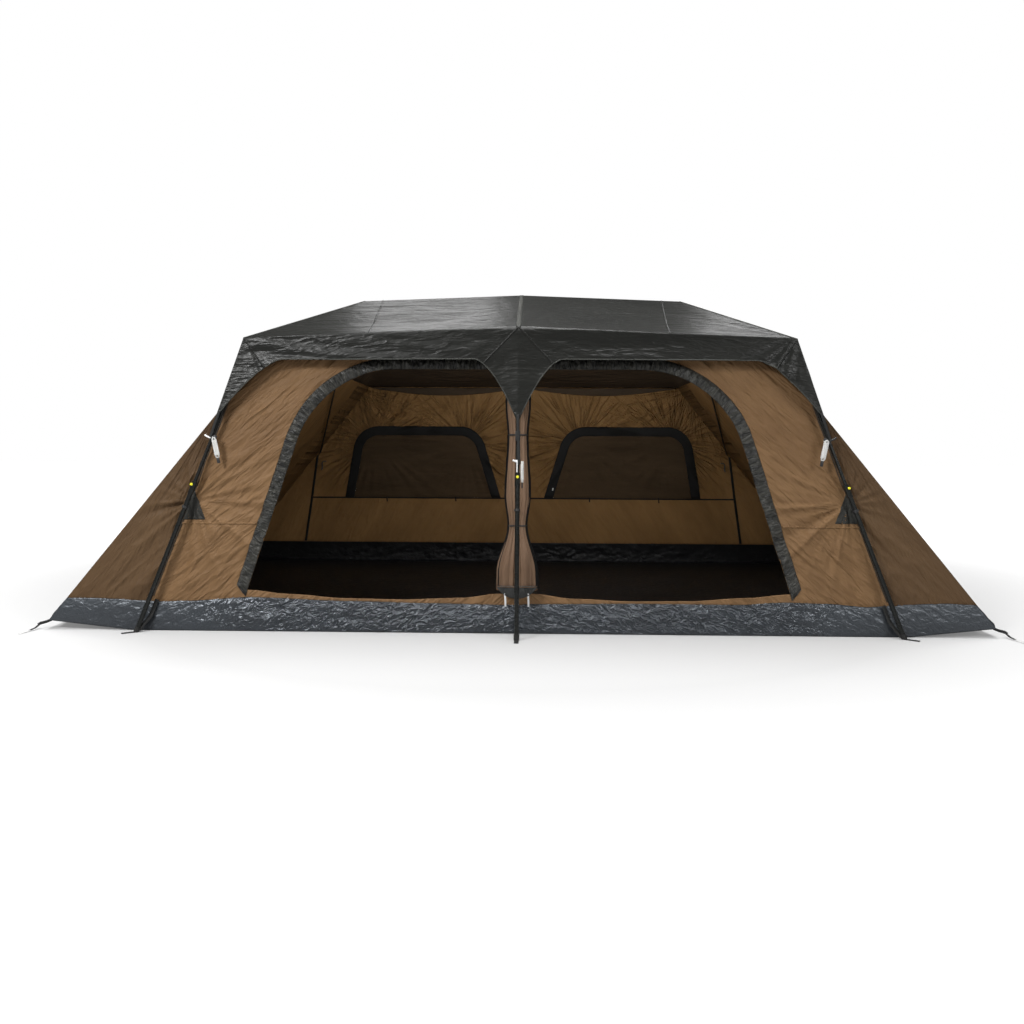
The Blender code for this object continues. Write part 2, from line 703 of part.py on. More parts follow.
def make_side_wall(side, material):
    """A side wall, between the front and back walls."""
    low, high = TUB_TOP + SEAT_GAP, WALL_TOP
    inset = CLOTH / math.cos(math.atan(WALL_LEAN_Y)) + SEAT_GAP
    bm = bmesh.new()
    corners = [
        (side * wall_x(z), end * (wall_y(z) - inset), z)
        for z, end in ((low, -1), (low, 1), (high, 1), (high, -1))
    ]
    bm.faces.new([bm.verts.new(point) for point in corners])
    made = bmesh.ops.extrude_face_region(bm, geom=list(bm.faces))
    moved = [item for item in made["geom"] if isinstance(item, bmesh.types.BMVert)]
    inward = Vector((-side, 0.0, -WALL_LEAN_X)).normalized() * CLOTH
    bmesh.ops.translate(bm, vec=inward, verts=moved)
    name = "left_wall" if side < 0 else "right_wall"
    place(to_object(bm), name, material)


def thickened(bm, thick, offset):
    """Gives an open surface its thickness with Solidify."""
    bmesh.ops.remove_doubles(bm, verts=bm.verts, dist=0.0001)
    bmesh.ops.recalc_face_normals(bm, faces=bm.faces)
    mesh = bpy.data.meshes.new("surface")
    bm.to_mesh(mesh)
    bm.free()
    item = working(mesh)
    shell = item.modifiers.new("thickness", "SOLIDIFY")
    shell.thickness = thick
    shell.offset = offset
    shell.use_even_offset = True
    bpy.context.view_layer.update()
    return evaluated(item)


def make_ceiling(material):
    """The inner tent's hipped ceiling, on the walls' top edges."""
    low = WALL_TOP + SEAT_GAP
    bm = bmesh.new()
    ridge = [bm.verts.new((x, 0.0, CEILING_TOP)) for x in (-CEILING_RIDGE_X, CEILING_RIDGE_X)]
    eave = {
        (side, end): bm.verts.new((side * wall_x(low), end * wall_y(low), low))
        for side in (-1, 1)
        for end in (-1, 1)
    }
    bm.faces.new((eave[-1, -1], eave[1, -1], ridge[1], ridge[0]))
    bm.faces.new((eave[1, 1], eave[-1, 1], ridge[0], ridge[1]))
    bm.faces.new((eave[1, -1], eave[1, 1], ridge[1]))
    bm.faces.new((eave[-1, 1], eave[-1, -1], ridge[0]))
    made = bmesh.ops.extrude_face_region(bm, geom=list(bm.faces))
    moved = [item for item in made["geom"] if isinstance(item, bmesh.types.BMVert)]
    bmesh.ops.translate(bm, vec=(0.0, 0.0, CLOTH), verts=moved)
    place(to_object(bm), "ceiling", material)


def make_groundsheet(material):
    """The groundsheet: a floor and a band up the walls, with corner straps and a strap to each foot."""
    cut_x = FOOT_X + FLOOR_CUT_PAST_FOOT
    cut_y = WALL_HALF_Y - FLOOR_CUT_Y
    lifted = (wall_x(CORNER_LIFT), wall_y(CORNER_LIFT), CORNER_LIFT)
    top_x, top_y = wall_x(TUB_TOP), wall_y(TUB_TOP)
    quarter = [
        ((cut_x, WALL_HALF_Y, 0.0), (cut_x, top_y, TUB_TOP)),
        (lifted, (top_x, top_y, TUB_TOP)),
        ((WALL_HALF_X, cut_y, 0.0), (top_x, cut_y, TUB_TOP)),
    ]
    bm = bmesh.new()
    low, high = [], []
    for side, end in ((1, -1), (1, 1), (-1, 1), (-1, -1)):
        for floor, rim in quarter if side * end < 0 else quarter[::-1]:
            low.append(bm.verts.new((side * floor[0], end * floor[1], floor[2])))
            high.append(bm.verts.new((side * rim[0], end * rim[1], rim[2])))
    count = len(low)
    for k in range(count):
        bm.faces.new((low[k], low[(k + 1) % count], high[(k + 1) % count], high[k]))
    bm.faces.new([low[k] for k in range(count) if k % 3 != 1])
    for k in range(1, count, 3):
        bm.faces.new((low[k - 1], low[k], low[(k + 1) % count]))
    shell = thickened(bm, CLOTH, -1.0)
    solids = [shell]
    up = Vector((0.0, 0.0, 1.0))
    strap_stop = Vector((WALL_HALF_X, WALL_HALF_Y, STRAP_THICK / 2)) + CORNER_STRAP_OUT
    for side in (-1, 1):
        for end in (-1, 1):
            flip = Vector((side, end, 1.0))
            start = Vector(a * b for a, b in zip(Vector(lifted) + CORNER_STRAP_INSET, flip))
            stop = Vector(a * b for a, b in zip(strap_stop, flip))
            solids.append(block(start, stop, up, STRAP_WIDE, STRAP_THICK))
    for leg in LEGS:
        flat_out = leg.foot.to_2d().to_3d()
        wall_face = Vector((leg.foot.x, leg.end * (WALL_HALF_Y - CLOTH * SEWN_IN), 0.0))
        gap = Vector((0.0, leg.end * (FOOT_R / -leg.down.z + SEAT_GAP), 0.0))
        lift = Vector((0.0, 0.0, STRAP_THICK / 2))
        solids.append(block(wall_face + lift, flat_out - gap + lift, up, STRAP_WIDE, STRAP_THICK))
    place(fused(solids), "groundsheet", material)


def smooth_step(t):
    t = min(1.0, max(0.0, t))
    return t * t * (3.0 - 2.0 * t)


def arch_height(t, span, lows, top, widths):
    """The lower edge of a valance at t metres along its span: a level arch between two tips."""
    near = 1.0 - max(0.0, 1.0 - t / widths[0]) ** ARCH_BEND
    far = 1.0 - max(0.0, 1.0 - (span - t) / widths[1]) ** ARCH_BEND
    return min(lows[0] + (top - lows[0]) * near, lows[1] + (top - lows[1]) * far)


def fly_eave(leg):
    """The fly's corner over a leg's elbow."""
    over = FLY_OVER_CORNER if leg.side else FLY_OVER_CENTRE
    return leg.elbow + Vector((leg.side * over.x, leg.end * over.y, over.z))


def fly_tip(leg):
    """The fly's lowest point in front of a leg."""
    drop, out = (CORNER_TIP_DROP, CORNER_TIP_OUT) if leg.side else (CENTRE_TIP_DROP, CENTRE_TIP_OUT)
    at = leg.foot - leg.down * ((leg.elbow.z - drop) / -leg.down.z)
    return at + Vector((leg.side * out.x, leg.end * out.y, 0.0))


def fly_quarter():
    """A quarter of the fly at +X and -Y: roof, corner, and the front and side valances."""
    bm = bmesh.new()
    peak = Vector((0.0, 0.0, FLY_PEAK))
    hub = FLY_SIDE_HUB.copy()
    eave_corner = fly_eave(FRONT_RIGHT)
    eave_centre = fly_eave(FRONT_CENTRE)
    tip = fly_tip(FRONT_RIGHT)
    centre_tip = fly_tip(FRONT_CENTRE)
    side_middle = Vector((eave_corner.x + SIDE_EAVE_OUT, 0.0, eave_corner.z - SIDE_EAVE_SAG))
    corner_line = [eave_corner.lerp(tip, k / CORNER_STEPS) for k in range(1, CORNER_STEPS)]

    near = list(FRONT_NEAR_CENTRE)
    far = [eave_corner.x - x for x in FRONT_NEAR_CORNER]
    step = (far[0] - near[-1]) / (FRONT_BETWEEN + 1)
    places = near + [near[-1] + step * k for k in range(1, FRONT_BETWEEN + 1)] + far
    eaves = [eave_centre.lerp(eave_corner, x / eave_corner.x) for x in places] + [eave_corner]
    front = []
    for top in eaves + corner_line:
        ends = (centre_tip.z, tip.z)
        low = arch_height(top.x, tip.x, ends, ARCH_TOP, (ARCH_CENTRE_W, ARCH_CORNER_W))
        share = min(1.0, top.x / eave_corner.x)
        at_centre = eave_centre.lerp(centre_tip, (eave_centre.z - low) / (eave_centre.z - centre_tip.z))
        at_corner = eave_corner.lerp(tip, (eave_corner.z - low) / (eave_corner.z - tip.z))
        front.append((top, Vector((top.x, at_centre.y * (1.0 - share) + at_corner.y * share, low))))
    front[0] = (eave_centre, centre_tip)
    front.append((tip, tip))

    sides = [eave_corner.lerp(side_middle, k / SIDE_STEPS) for k in range(SIDE_STEPS + 1)]
    side = [(tip, tip)]
    for top in corner_line[::-1] + sides:
        ends = (tip.z, tip.z)
        low = arch_height(top.y - tip.y, -2.0 * tip.y, ends, SIDE_ARCH_TOP, (ARCH_CORNER_W, ARCH_CORNER_W))
        out = (tip.x - eave_corner.x) * (top.z - low) / (eave_corner.z - tip.z)
        side.append((top, Vector((max(top.x + out, wall_x(low) + FLY_OFF_WALL), top.y, low))))

    known = {}

    def vert(point):
        key = tuple(round(c, 6) for c in point)
        if key not in known:
            known[key] = bm.verts.new(point)
        return known[key]

    def face(*points):
        verts = []
        for point in points:
            v = vert(point)
            if v not in verts:
                verts.append(v)
        if len(verts) > 2:
            bm.faces.new(verts)

    for strip in (front, side):
        for (top_a, low_a), (top_b, low_b) in zip(strip, strip[1:]):
            face(top_a, top_b, low_b)
            face(top_a, low_b, low_a)
    ridge_points = [peak.lerp(hub, top.x / eave_corner.x) for top in eaves]
    for k in range(len(eaves) - 1):
        face(ridge_points[k], ridge_points[k + 1], eaves[k + 1])
        face(ridge_points[k], eaves[k + 1], eaves[k])
    for a, b in zip(sides, sides[1:]):
        face(hub, a, b)
    return bm


def strap_end(leg):
    """The lower end of the fly's strap, in front of the leg that it is hooked to."""
    drop = CORNER_STRAP_DROP if leg.side else CENTRE_STRAP_DROP
    aside = CORNER_STRAP_ASIDE if leg.side else CENTRE_STRAP_ASIDE
    at = leg.foot - leg.down * ((fly_tip(leg).z - drop) / -leg.down.z)
    return at + leg.front * STRAP_OFF_LEG + Vector((aside, 0.0, 0.0)) * (leg.side or 1)


def make_fly(material):
    """The fly over the frame: one skin with an arch between neighbouring legs, and a strap at each tip."""
    quarter = fly_quarter()
    for axis in ((-1.0, 1.0, 1.0), (1.0, -1.0, 1.0)):
        every = [*quarter.verts, *quarter.edges, *quarter.faces]
        copy = bmesh.ops.duplicate(quarter, geom=every)
        verts = [item for item in copy["geom"] if isinstance(item, bmesh.types.BMVert)]
        bmesh.ops.scale(quarter, vec=axis, verts=verts)
        faces = [item for item in copy["geom"] if isinstance(item, bmesh.types.BMFace)]
        bmesh.ops.reverse_faces(quarter, faces=faces)
    shell = thickened(quarter, FLY_THICK, -1.0)
    solids = [shell]
    for leg in LEGS:
        tip = fly_tip(leg)
        inward = Vector((-leg.side, -leg.end, 0.0)) * (FLY_THICK * SEWN_IN)
        start = tip + (fly_eave(leg) - tip).normalized() * TIP_STRAP_UP + inward
        solids.append(block(start, strap_end(leg), leg.front, STRAP_WIDE, STRAP_THICK))
    place(fused(solids), "roof_fly", material)


def roll_edge(z):
    """How far the rolled door reaches from the centre: drawn in at its two ties, flared at its hem."""
    for (z_a, edge_a), (z_b, edge_b) in zip(ROLL_EDGES, ROLL_EDGES[1:]):
        if z > z_b:
            return edge_a + (edge_b - edge_a) * smooth_step((z_a - z) / (z_a - z_b))
    return ROLL_EDGES[-1][1]


def make_rolled_door(side, material):
    """A door gathered beside the centre leg: a hanging bundle with upright folds."""
    bm = bmesh.new()
    previous = None
    for level in range(ROLL_LEVELS):
        z = ROLL_TOP + (ROLL_LOW - ROLL_TOP) * level / (ROLL_LEVELS - 1)
        edge = roll_edge(z)
        half = (edge - ROLL_GAP) / 2
        deep = ROLL_DEEP_TO_WIDE * half + ROLL_DEEP
        outline = []
        for k in range(ROLL_SIDES):
            angle = math.tau * k / ROLL_SIDES
            wave = math.cos(ROLL_FOLDS * angle + ROLL_FOLD_TURN * level / ROLL_LEVELS)
            fold = 1.0 + ROLL_FOLD_DEPTH * (wave - 1.0)
            outline.append((half * fold * math.cos(angle), deep * fold * math.sin(angle)))
        back = -wall_y(z) - SEAT_GAP - max(y for _, y in outline)
        ring = [bm.verts.new((side * (ROLL_GAP + half + x), back + y, z)) for x, y in outline]
        if previous:
            for k in range(ROLL_SIDES):
                bm.faces.new((previous[k], previous[k - 1], ring[k - 1], ring[k]))
        else:
            bm.faces.new(ring)
        previous = ring
    bm.faces.new(previous)
    name = "rolled_door_left" if side < 0 else "rolled_door_right"
    place(to_object(bm), name, material)


def around_hank(turn, radius, run):
    """A point of an oval with straight runs, at this many turns from the foot of its right run."""
    part = (turn % 1.0) * 4.0
    if part < 1.0:
        return radius, run * (2.0 * part - 1.0)
    if part < 2.0:
        angle = math.pi * (part - 1.0)
        return radius * math.cos(angle), run + radius * math.sin(angle)
    if part < 3.0:
        return -radius, run * (5.0 - 2.0 * part)
    angle = math.pi * (part - 2.0)
    return radius * math.cos(angle), -run + radius * math.sin(angle)


def hank_route():
    """A cord wound in a long hank below the origin: it spirals in and out, a layer at a time."""
    outer = HANK_INNER_R + CORD_PITCH * HANK_TURNS
    run = HANK_LONG / 2 - outer - CORD_R
    stage = HANK_TURNS + HANK_CLIMB
    points = []
    for k in range(round((HANK_LAYERS * stage - HANK_CLIMB) * HANK_POINTS_A_TURN) + 1):
        turn = k / HANK_POINTS_A_TURN
        layer = int(turn / stage)
        into = turn - layer * stage
        swept = CORD_PITCH * min(into, HANK_TURNS)
        radius = HANK_INNER_R + swept if layer % 2 else outer - swept
        height = CORD_PITCH * (layer + smooth_step((into - HANK_TURNS) / HANK_CLIMB))
        across, along = around_hank(turn, radius, run)
        points.append(Vector((across, height, along - HANK_LONG / 2)))
    return points


def least_gap(points, skip):
    """The least gap between stretches of the cord that are not next to each other."""
    fine = []
    for a, b in zip(points, points[1:]):
        fine += [a.lerp(b, k / GAP_STEPS) for k in range(GAP_STEPS)]
    least = 1.0
    for i, a in enumerate(fine):
        for b in fine[i + skip :]:
            least = min(least, (a - b).length)
    return least - 2 * CORD_R


def make_hank(leg, material):
    """A guy line, put away as a hank that hangs beside its leg from the fly's strap."""
    layers = CORD_PITCH * (HANK_LAYERS - 1)
    if leg.side:
        before = leg.end * (STRAP_THICK / 2 + SEAT_GAP + CORD_R)
        aside = Vector((-leg.side * HANK_INBOARD, before + min(0.0, leg.end) * layers, HANK_ABOVE))
        turn = Matrix.Rotation(leg.side * HANK_TILT, 4, "Y")
    else:
        aside = Vector((STRAP_WIDE / 2 + SEAT_GAP + CORD_R, -leg.end * HANK_BEHIND, HANK_ABOVE))
        turn = Matrix.Rotation(-math.pi / 2, 4, "Z")
    place_at = Matrix.Translation(strap_end(leg) + aside) @ turn
    route = hank_route()
    name = f"guy_hank_{leg.name}"
    curve = bpy.data.curves.new(name, "CURVE")
    curve.dimensions = "3D"
    curve.bevel_depth = CORD_R
    curve.bevel_resolution = 1
    curve.use_fill_caps = True
    spline = curve.splines.new("POLY")
    spline.points.add(len(route) - 1)
    for point, at in zip(spline.points, route):
        point.co = (*(place_at @ at), 1.0)
    item = bpy.data.objects.new(name, curve)
    TENT.objects.link(item)
    curve.materials.append(material)
    return route


def main():
    start_scene()
    pole = finish("pole_steel", (0.030, 0.031, 0.030), 0.38, 0.6)
    moulded = finish("moulded_black", (0.020, 0.020, 0.021), 0.45)
    yellow = finish("button_yellow", (0.86, 0.78, 0.05), 0.40)
    webbing = finish("webbing_black", (0.018, 0.018, 0.018), 0.80)
    fly = finish("fly_charcoal", (0.060, 0.061, 0.056), 0.55)
    brown = finish("canvas_brown", (0.165, 0.098, 0.052), 0.80)
    dark = finish("ceiling_dark", (0.012, 0.011, 0.010), 0.85)
    mesh_brown = finish("window_mesh", (0.050, 0.030, 0.016), 0.85)
    slate = finish("tub_slate", (0.062, 0.072, 0.082), 0.42)
    white = finish("cord_white", (0.80, 0.80, 0.78), 0.70)
    make_hubs(moulded)
    make_ridges(pole)
    for leg in LEGS:
        make_arm(leg, pole)
        make_elbow(leg, moulded)
        make_upper_leg(leg, pole)
        make_lower_leg(leg, pole)
        make_button(leg, yellow)
        make_foot(leg, webbing)
    make_front_wall(brown)
    make_back_wall(brown, mesh_brown)
    make_side_wall(-1, brown)
    make_side_wall(1, brown)
    make_ceiling(dark)
    make_groundsheet(slate)
    make_fly(fly)
    make_rolled_door(-1, brown)
    make_rolled_door(1, brown)
    for leg in LEGS:
        if leg.end < 0:
            route = make_hank(leg, white)
    length = sum((b - a).length for a, b in zip(route, route[1:]))
    print(f"cord in a hank: {length:.3f} m")
    print(f"least gap of a hank to itself: {1000 * least_gap(route, HANK_POINTS_A_TURN):.2f} mm")
    print(f"travel of the telescopic legs: {LEG_TRAVEL:.3f} m")
    for leg in LEGS:
        arm_swing, leg_swing = math.degrees(leg.arm_swing), math.degrees(leg.leg_swing)
        print(f"{leg.name}: the arm folds {arm_swing:.2f} degrees about {leg.hub_axis[:]}")
        print(f"  at {leg.hub_pin[:]}, and the leg {leg_swing:.2f} about {leg.leg_axis[:]}")
        print(f"  at {leg.leg_pin[:]}; the leg points along {leg.down[:]}, its button along {leg.push[:]}")


main()
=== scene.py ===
import math

import bmesh
import bpy
from mathutils import Matrix, Vector, noise
from mathutils.bvhtree import BVHTree


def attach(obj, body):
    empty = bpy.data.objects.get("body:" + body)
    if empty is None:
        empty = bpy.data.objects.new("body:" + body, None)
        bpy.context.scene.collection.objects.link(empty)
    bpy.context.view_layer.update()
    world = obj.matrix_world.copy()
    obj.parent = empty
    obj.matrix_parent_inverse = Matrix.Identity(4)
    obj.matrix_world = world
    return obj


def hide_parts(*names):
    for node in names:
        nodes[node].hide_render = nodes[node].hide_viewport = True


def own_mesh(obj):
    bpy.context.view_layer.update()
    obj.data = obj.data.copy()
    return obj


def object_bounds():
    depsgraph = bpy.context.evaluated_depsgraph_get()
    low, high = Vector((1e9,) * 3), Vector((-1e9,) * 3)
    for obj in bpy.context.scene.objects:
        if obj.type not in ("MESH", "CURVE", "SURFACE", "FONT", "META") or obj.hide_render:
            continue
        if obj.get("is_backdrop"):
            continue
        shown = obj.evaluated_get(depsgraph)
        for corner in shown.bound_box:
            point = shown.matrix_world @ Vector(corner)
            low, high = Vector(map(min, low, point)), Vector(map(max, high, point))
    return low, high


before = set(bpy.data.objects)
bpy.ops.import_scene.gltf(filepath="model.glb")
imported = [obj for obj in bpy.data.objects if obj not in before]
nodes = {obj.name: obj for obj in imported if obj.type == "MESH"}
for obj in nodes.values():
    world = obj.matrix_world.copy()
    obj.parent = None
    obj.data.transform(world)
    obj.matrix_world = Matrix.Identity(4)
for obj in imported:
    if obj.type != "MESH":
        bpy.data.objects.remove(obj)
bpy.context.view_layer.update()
UP = Vector((0.0, 0.0, 1.0))

# The camera stands a little right of the middle, at a standing person's chest height, and
# is rolled by a third of a degree, as in the photograph.
EYE = Vector((0.0632, -5.9690, 0.993))
AIM = Vector((-0.02075, 0.99714, -0.07261)).normalized()
ROLL = math.radians(0.296)
LENS = 29.09
level = AIM.cross(UP).normalized()
right = level * math.cos(ROLL) + level.cross(AIM) * math.sin(ROLL)
upright = right.cross(AIM)
camera = bpy.data.objects.new("camera", bpy.data.cameras.new("camera"))
camera.data.lens = LENS
camera.data.sensor_width = 36.0
camera.data.clip_start = 0.05
camera.data.clip_end = 200.0
camera.matrix_world = Matrix.Translation(EYE) @ Matrix((right, upright, -AIM)).transposed().to_4x4()
bpy.context.scene.collection.objects.link(camera)
bpy.context.scene.camera = camera
bpy.context.scene.view_settings.view_transform = "Standard"

# The studio: a white paper floor that runs out of sight, a white surround, a wide soft lamp
# overhead, one at each front corner, one high up that throws the tent's soft shadow, two behind
# that give the roof its sheen, and two inside.
FLOOR_HALF = 60.0
FLOOR_GLOW = 0.15


def add(tree, kind, inputs=None, **settings):
    """A shader node with its settings, whose inputs take values or other nodes' outputs."""
    made = tree.nodes.new("ShaderNode" + kind)
    for key, value in settings.items():
        setattr(made, key, value)
    for key, value in (inputs or {}).items():
        if isinstance(value, bpy.types.NodeSocket):
            tree.links.new(value, made.inputs[key])
        else:
            made.inputs[key].default_value = value
    return made


def new_material(name):
    material = bpy.data.materials.new(name)
    material.use_nodes = True
    return material, material.node_tree, material.node_tree.nodes["Principled BSDF"]


def new_piece(name, bm, *materials):
    """An object from a finished bmesh, smooth shaded, with its place in its mesh."""
    mesh = bpy.data.meshes.new(name)
    bm.to_mesh(mesh)
    bm.free()
    for material in materials:
        mesh.materials.append(material)
    mesh.shade_smooth()
    item = bpy.data.objects.new(name, mesh)
    bpy.context.scene.collection.objects.link(item)
    return item


paper, tree, shader = new_material("white_paper")
shader.inputs["Base Color"].default_value = (0.45, 0.45, 0.45, 1.0)
shader.inputs["Roughness"].default_value = 1.0
shader.inputs["Specular IOR Level"].default_value = 0.0
rays = add(tree, "LightPath")
where = add(tree, "TexCoord")
away = add(tree, "VectorMath", {0: where.outputs["Object"]}, operation="LENGTH")
power = add(tree, "MapRange",
            {"Value": away.outputs["Value"], "From Min": 2.6, "From Max": 6.0, "To Min": FLOOR_GLOW,
             "To Max": 1.0})
glow = add(tree, "Emission", {"Color": (1.0, 1.0, 1.0, 1.0), "Strength": power.outputs[0]})
both = add(tree, "AddShader", {0: shader.outputs[0], 1: glow.outputs[0]})
shown = add(tree, "MixShader", {0: rays.outputs["Is Camera Ray"], 1: shader.outputs[0], 2: both.outputs[0]})
tree.links.new(shown.outputs[0], tree.nodes["Material Output"].inputs["Surface"])
bm = bmesh.new()
bmesh.ops.create_grid(bm, x_segments=2, y_segments=2, size=FLOOR_HALF)
bmesh.ops.translate(bm, vec=(0.0, 0.0, -0.001), verts=bm.verts)
floor = new_piece("studio_floor", bm, paper)
floor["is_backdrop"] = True

world = bpy.data.worlds.new("studio")
bpy.context.scene.world = world
world.use_nodes = True
tree = world.node_tree
rays = add(tree, "LightPath")
seen = add(tree, "Math", {0: rays.outputs["Is Camera Ray"], 1: rays.outputs["Is Transmission Ray"]},
           operation="MAXIMUM")
where = add(tree, "TexCoord")
split = add(tree, "SeparateXYZ", {0: where.outputs["Generated"]})
fill = add(tree, "MapRange",
           {"Value": split.outputs["Y"], "From Min": -0.1, "From Max": 0.5, "To Min": 0.22, "To Max": 0.05})
strength = add(tree, "MapRange", {"Value": seen.outputs[0], "To Min": fill.outputs[0], "To Max": 1.0})
tree.links.new(strength.outputs[0], tree.nodes["Background"].inputs["Strength"])
tree.nodes["Background"].inputs["Color"].default_value = (1.0, 1.0, 1.0, 1.0)

for name, place, target, wide, deep, power in (
    ("lamp_overhead", (0.0, -2.4, 6.0), (0.0, -0.8, 0.0), 5.0, 2.6, 250.0),
    ("lamp_high", (0.0, 0.6, 8.5), (0.0, 0.6, 0.0), 3.4, 3.4, 460.0),
    ("lamp_left_front", (-4.3, -6.3, 4.6), (0.0, -0.8, 0.8), 1.6, 1.4, 380.0),
    ("lamp_right_front", (5.5, -6.5, 3.4), (0.5, -0.5, 0.8), 2.0, 1.6, 150.0),
    ("lamp_behind_left", (-1.95, 9.0, 6.0), (-0.5, -0.6, 1.8), 2.5, 2.4, 46.0),
    ("lamp_behind_right", (4.2, 8.8, 6.0), (1.2, -0.6, 1.8), 1.8, 2.4, 34.0),
    ("lamp_inside_left", (-0.70, -0.9, 1.40), (-1.25, 1.5, 1.50), 1.2, 0.2, 13.0),
    ("lamp_inside_right", (0.70, -0.9, 1.40), (1.30, 1.5, 1.50), 1.2, 0.2, 21.0),
):
    lamp = bpy.data.objects.new(name, bpy.data.lights.new(name, "AREA"))
    lamp.data.shape = "RECTANGLE"
    lamp.data.size = wide
    lamp.data.size_y = deep
    lamp.data.energy = power
    lamp.visible_camera = False
    heading = (Vector(target) - Vector(place)).to_track_quat("-Z", "Y")
    lamp.matrix_world = Matrix.Translation(place) @ heading.to_matrix().to_4x4()
    bpy.context.scene.collection.objects.link(lamp)

# Three guy lines of 2.5 mm white braided cord, each put away as a hank that is wound round
# and round and hangs from the end of the fly's strap at a front leg.
CORD_R = 0.00125
CORD_PITCH = 0.0035
HANK_LONG = 0.118
HANK_INNER_R = 0.0050
HANK_LAYERS = 4
HANK_TURNS = 1.5
HANK_CLIMB = 0.5
HANK_POINTS = 24
WRAP_TURNS = 24
WRAP_POINTS = 20
WRAP_LONG = 0.084
CORNER_STRAP_Z = 1.0450
CENTRE_STRAP_Z = 0.9250
FOOT_X = 2.08
LEG_LEAN = 0.3866
FEET = {-1: Vector((-FOOT_X, -1.55, 0.0)), 0: Vector((0.0, -1.66, 0.0)), 1: Vector((FOOT_X, -1.55, 0.0))}
DOWN = {
    -1: Vector((-0.35976, -0.06901, -0.93049)),
    0: Vector((0.0, -0.10700, -0.99426)),
    1: Vector((0.35976, -0.06901, -0.93049)),
}
LEG_NAMES = {-1: "front_left", 0: "front_centre", 1: "front_right"}


def leg_at(side, z, end=-1):
    """The point of a leg's axis at this height. End is -1 for the front and 1 for the back."""
    at = FEET[side] - DOWN[side] * (z / -DOWN[side].z)
    return Vector((at.x, at.y * -end, at.z))


def soft(piece):
    """The cloth and all that hangs on it goes on the root body, so it stays on the ground while the frame
    folds, with a mesh of its own.
    """
    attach(piece, "root")
    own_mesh(piece)
    return piece


def smooth_step(t):
    t = min(1.0, max(0.0, t))
    return t * t * (3.0 - 2.0 * t)


def tube_along(name, points, radius, material, sides=2, cyclic=False):
    """A round cord or rod along the points, as a mesh with capped ends."""
    curve = bpy.data.curves.new(name, "CURVE")
    curve.dimensions = "3D"
    curve.bevel_depth = radius
    curve.bevel_resolution = sides
    curve.use_fill_caps = True
    spline = curve.splines.new("POLY")
    spline.use_cyclic_u = cyclic
    spline.points.add(len(points) - 1)
    for point, at in zip(spline.points, points):
        point.co = (*at, 1.0)
    holder = bpy.data.objects.new(name, curve)
    bpy.context.scene.collection.objects.link(holder)
    bpy.context.view_layer.update()
    mesh = bpy.data.meshes.new_from_object(holder.evaluated_get(bpy.context.evaluated_depsgraph_get()))
    bpy.data.objects.remove(holder, do_unlink=True)
    bm = bmesh.new()
    bm.from_mesh(mesh)
    bpy.data.meshes.remove(mesh)
    bmesh.ops.recalc_face_normals(bm, faces=bm.faces)
    return new_piece(name, bm, material)


def around_hank(turn, radius, run):
    part = (turn % 1.0) * 4.0
    if part < 1.0:
        return radius, run * (2.0 * part - 1.0)
    if part < 2.0:
        angle = math.pi * (part - 1.0)
        return radius * math.cos(angle), run + radius * math.sin(angle)
    if part < 3.0:
        return -radius, run * (5.0 - 2.0 * part)
    angle = math.pi * (part - 2.0)
    return radius * math.cos(angle), -run + radius * math.sin(angle)


def hank_route():
    """The cord's winding, below the origin: it spirals in and out, a layer at a time."""
    outer = HANK_INNER_R + CORD_PITCH * HANK_TURNS
    run = HANK_LONG / 2 - outer - CORD_R
    stage = HANK_TURNS + HANK_CLIMB
    points = []
    for k in range(round((HANK_LAYERS * stage - HANK_CLIMB) * HANK_POINTS) + 1):
        turn = k / HANK_POINTS
        layer = int(turn / stage)
        into = turn - layer * stage
        swept = CORD_PITCH * min(into, HANK_TURNS)
        radius = HANK_INNER_R + swept if layer % 2 else outer - swept
        height = CORD_PITCH * (layer + smooth_step((into - HANK_TURNS) / HANK_CLIMB))
        across, along = around_hank(turn, radius, run)
        points.append(Vector((across, height, along - HANK_LONG / 2)))
    return points


braid, tree, shader = new_material("white_braid")
where = add(tree, "TexCoord")
strands = add(tree, "TexWave", {"Vector": where.outputs["Object"], "Scale": 260.0, "Distortion": 3.0},
              wave_type="BANDS", bands_direction="DIAGONAL")
lift = add(tree, "Bump", {"Height": strands.outputs["Fac"], "Strength": 0.8, "Distance": 0.0004})
shade = add(tree, "MixRGB", {"Fac": strands.outputs["Fac"], "Color1": (0.62, 0.62, 0.60, 1.0),
                             "Color2": (0.88, 0.88, 0.86, 1.0)})
tree.links.new(shade.outputs[0], shader.inputs["Base Color"])
tree.links.new(lift.outputs[0], shader.inputs["Normal"])
shader.inputs["Roughness"].default_value = 0.75

plastic, tree, shader = new_material("white_plastic")
where = add(tree, "TexCoord")
grain = add(tree, "TexNoise", {"Vector": where.outputs["Object"], "Scale": 420.0, "Detail": 3.0})
lift = add(tree, "Bump", {"Height": grain.outputs["Fac"], "Strength": 0.25, "Distance": 0.0004})
shade = add(tree, "MixRGB", {"Fac": grain.outputs["Fac"], "Color1": (0.72, 0.72, 0.71, 1.0),
                             "Color2": (0.85, 0.85, 0.84, 1.0)})
tree.links.new(shade.outputs[0], shader.inputs["Base Color"])
tree.links.new(lift.outputs[0], shader.inputs["Normal"])
shader.inputs["Roughness"].default_value = 0.4

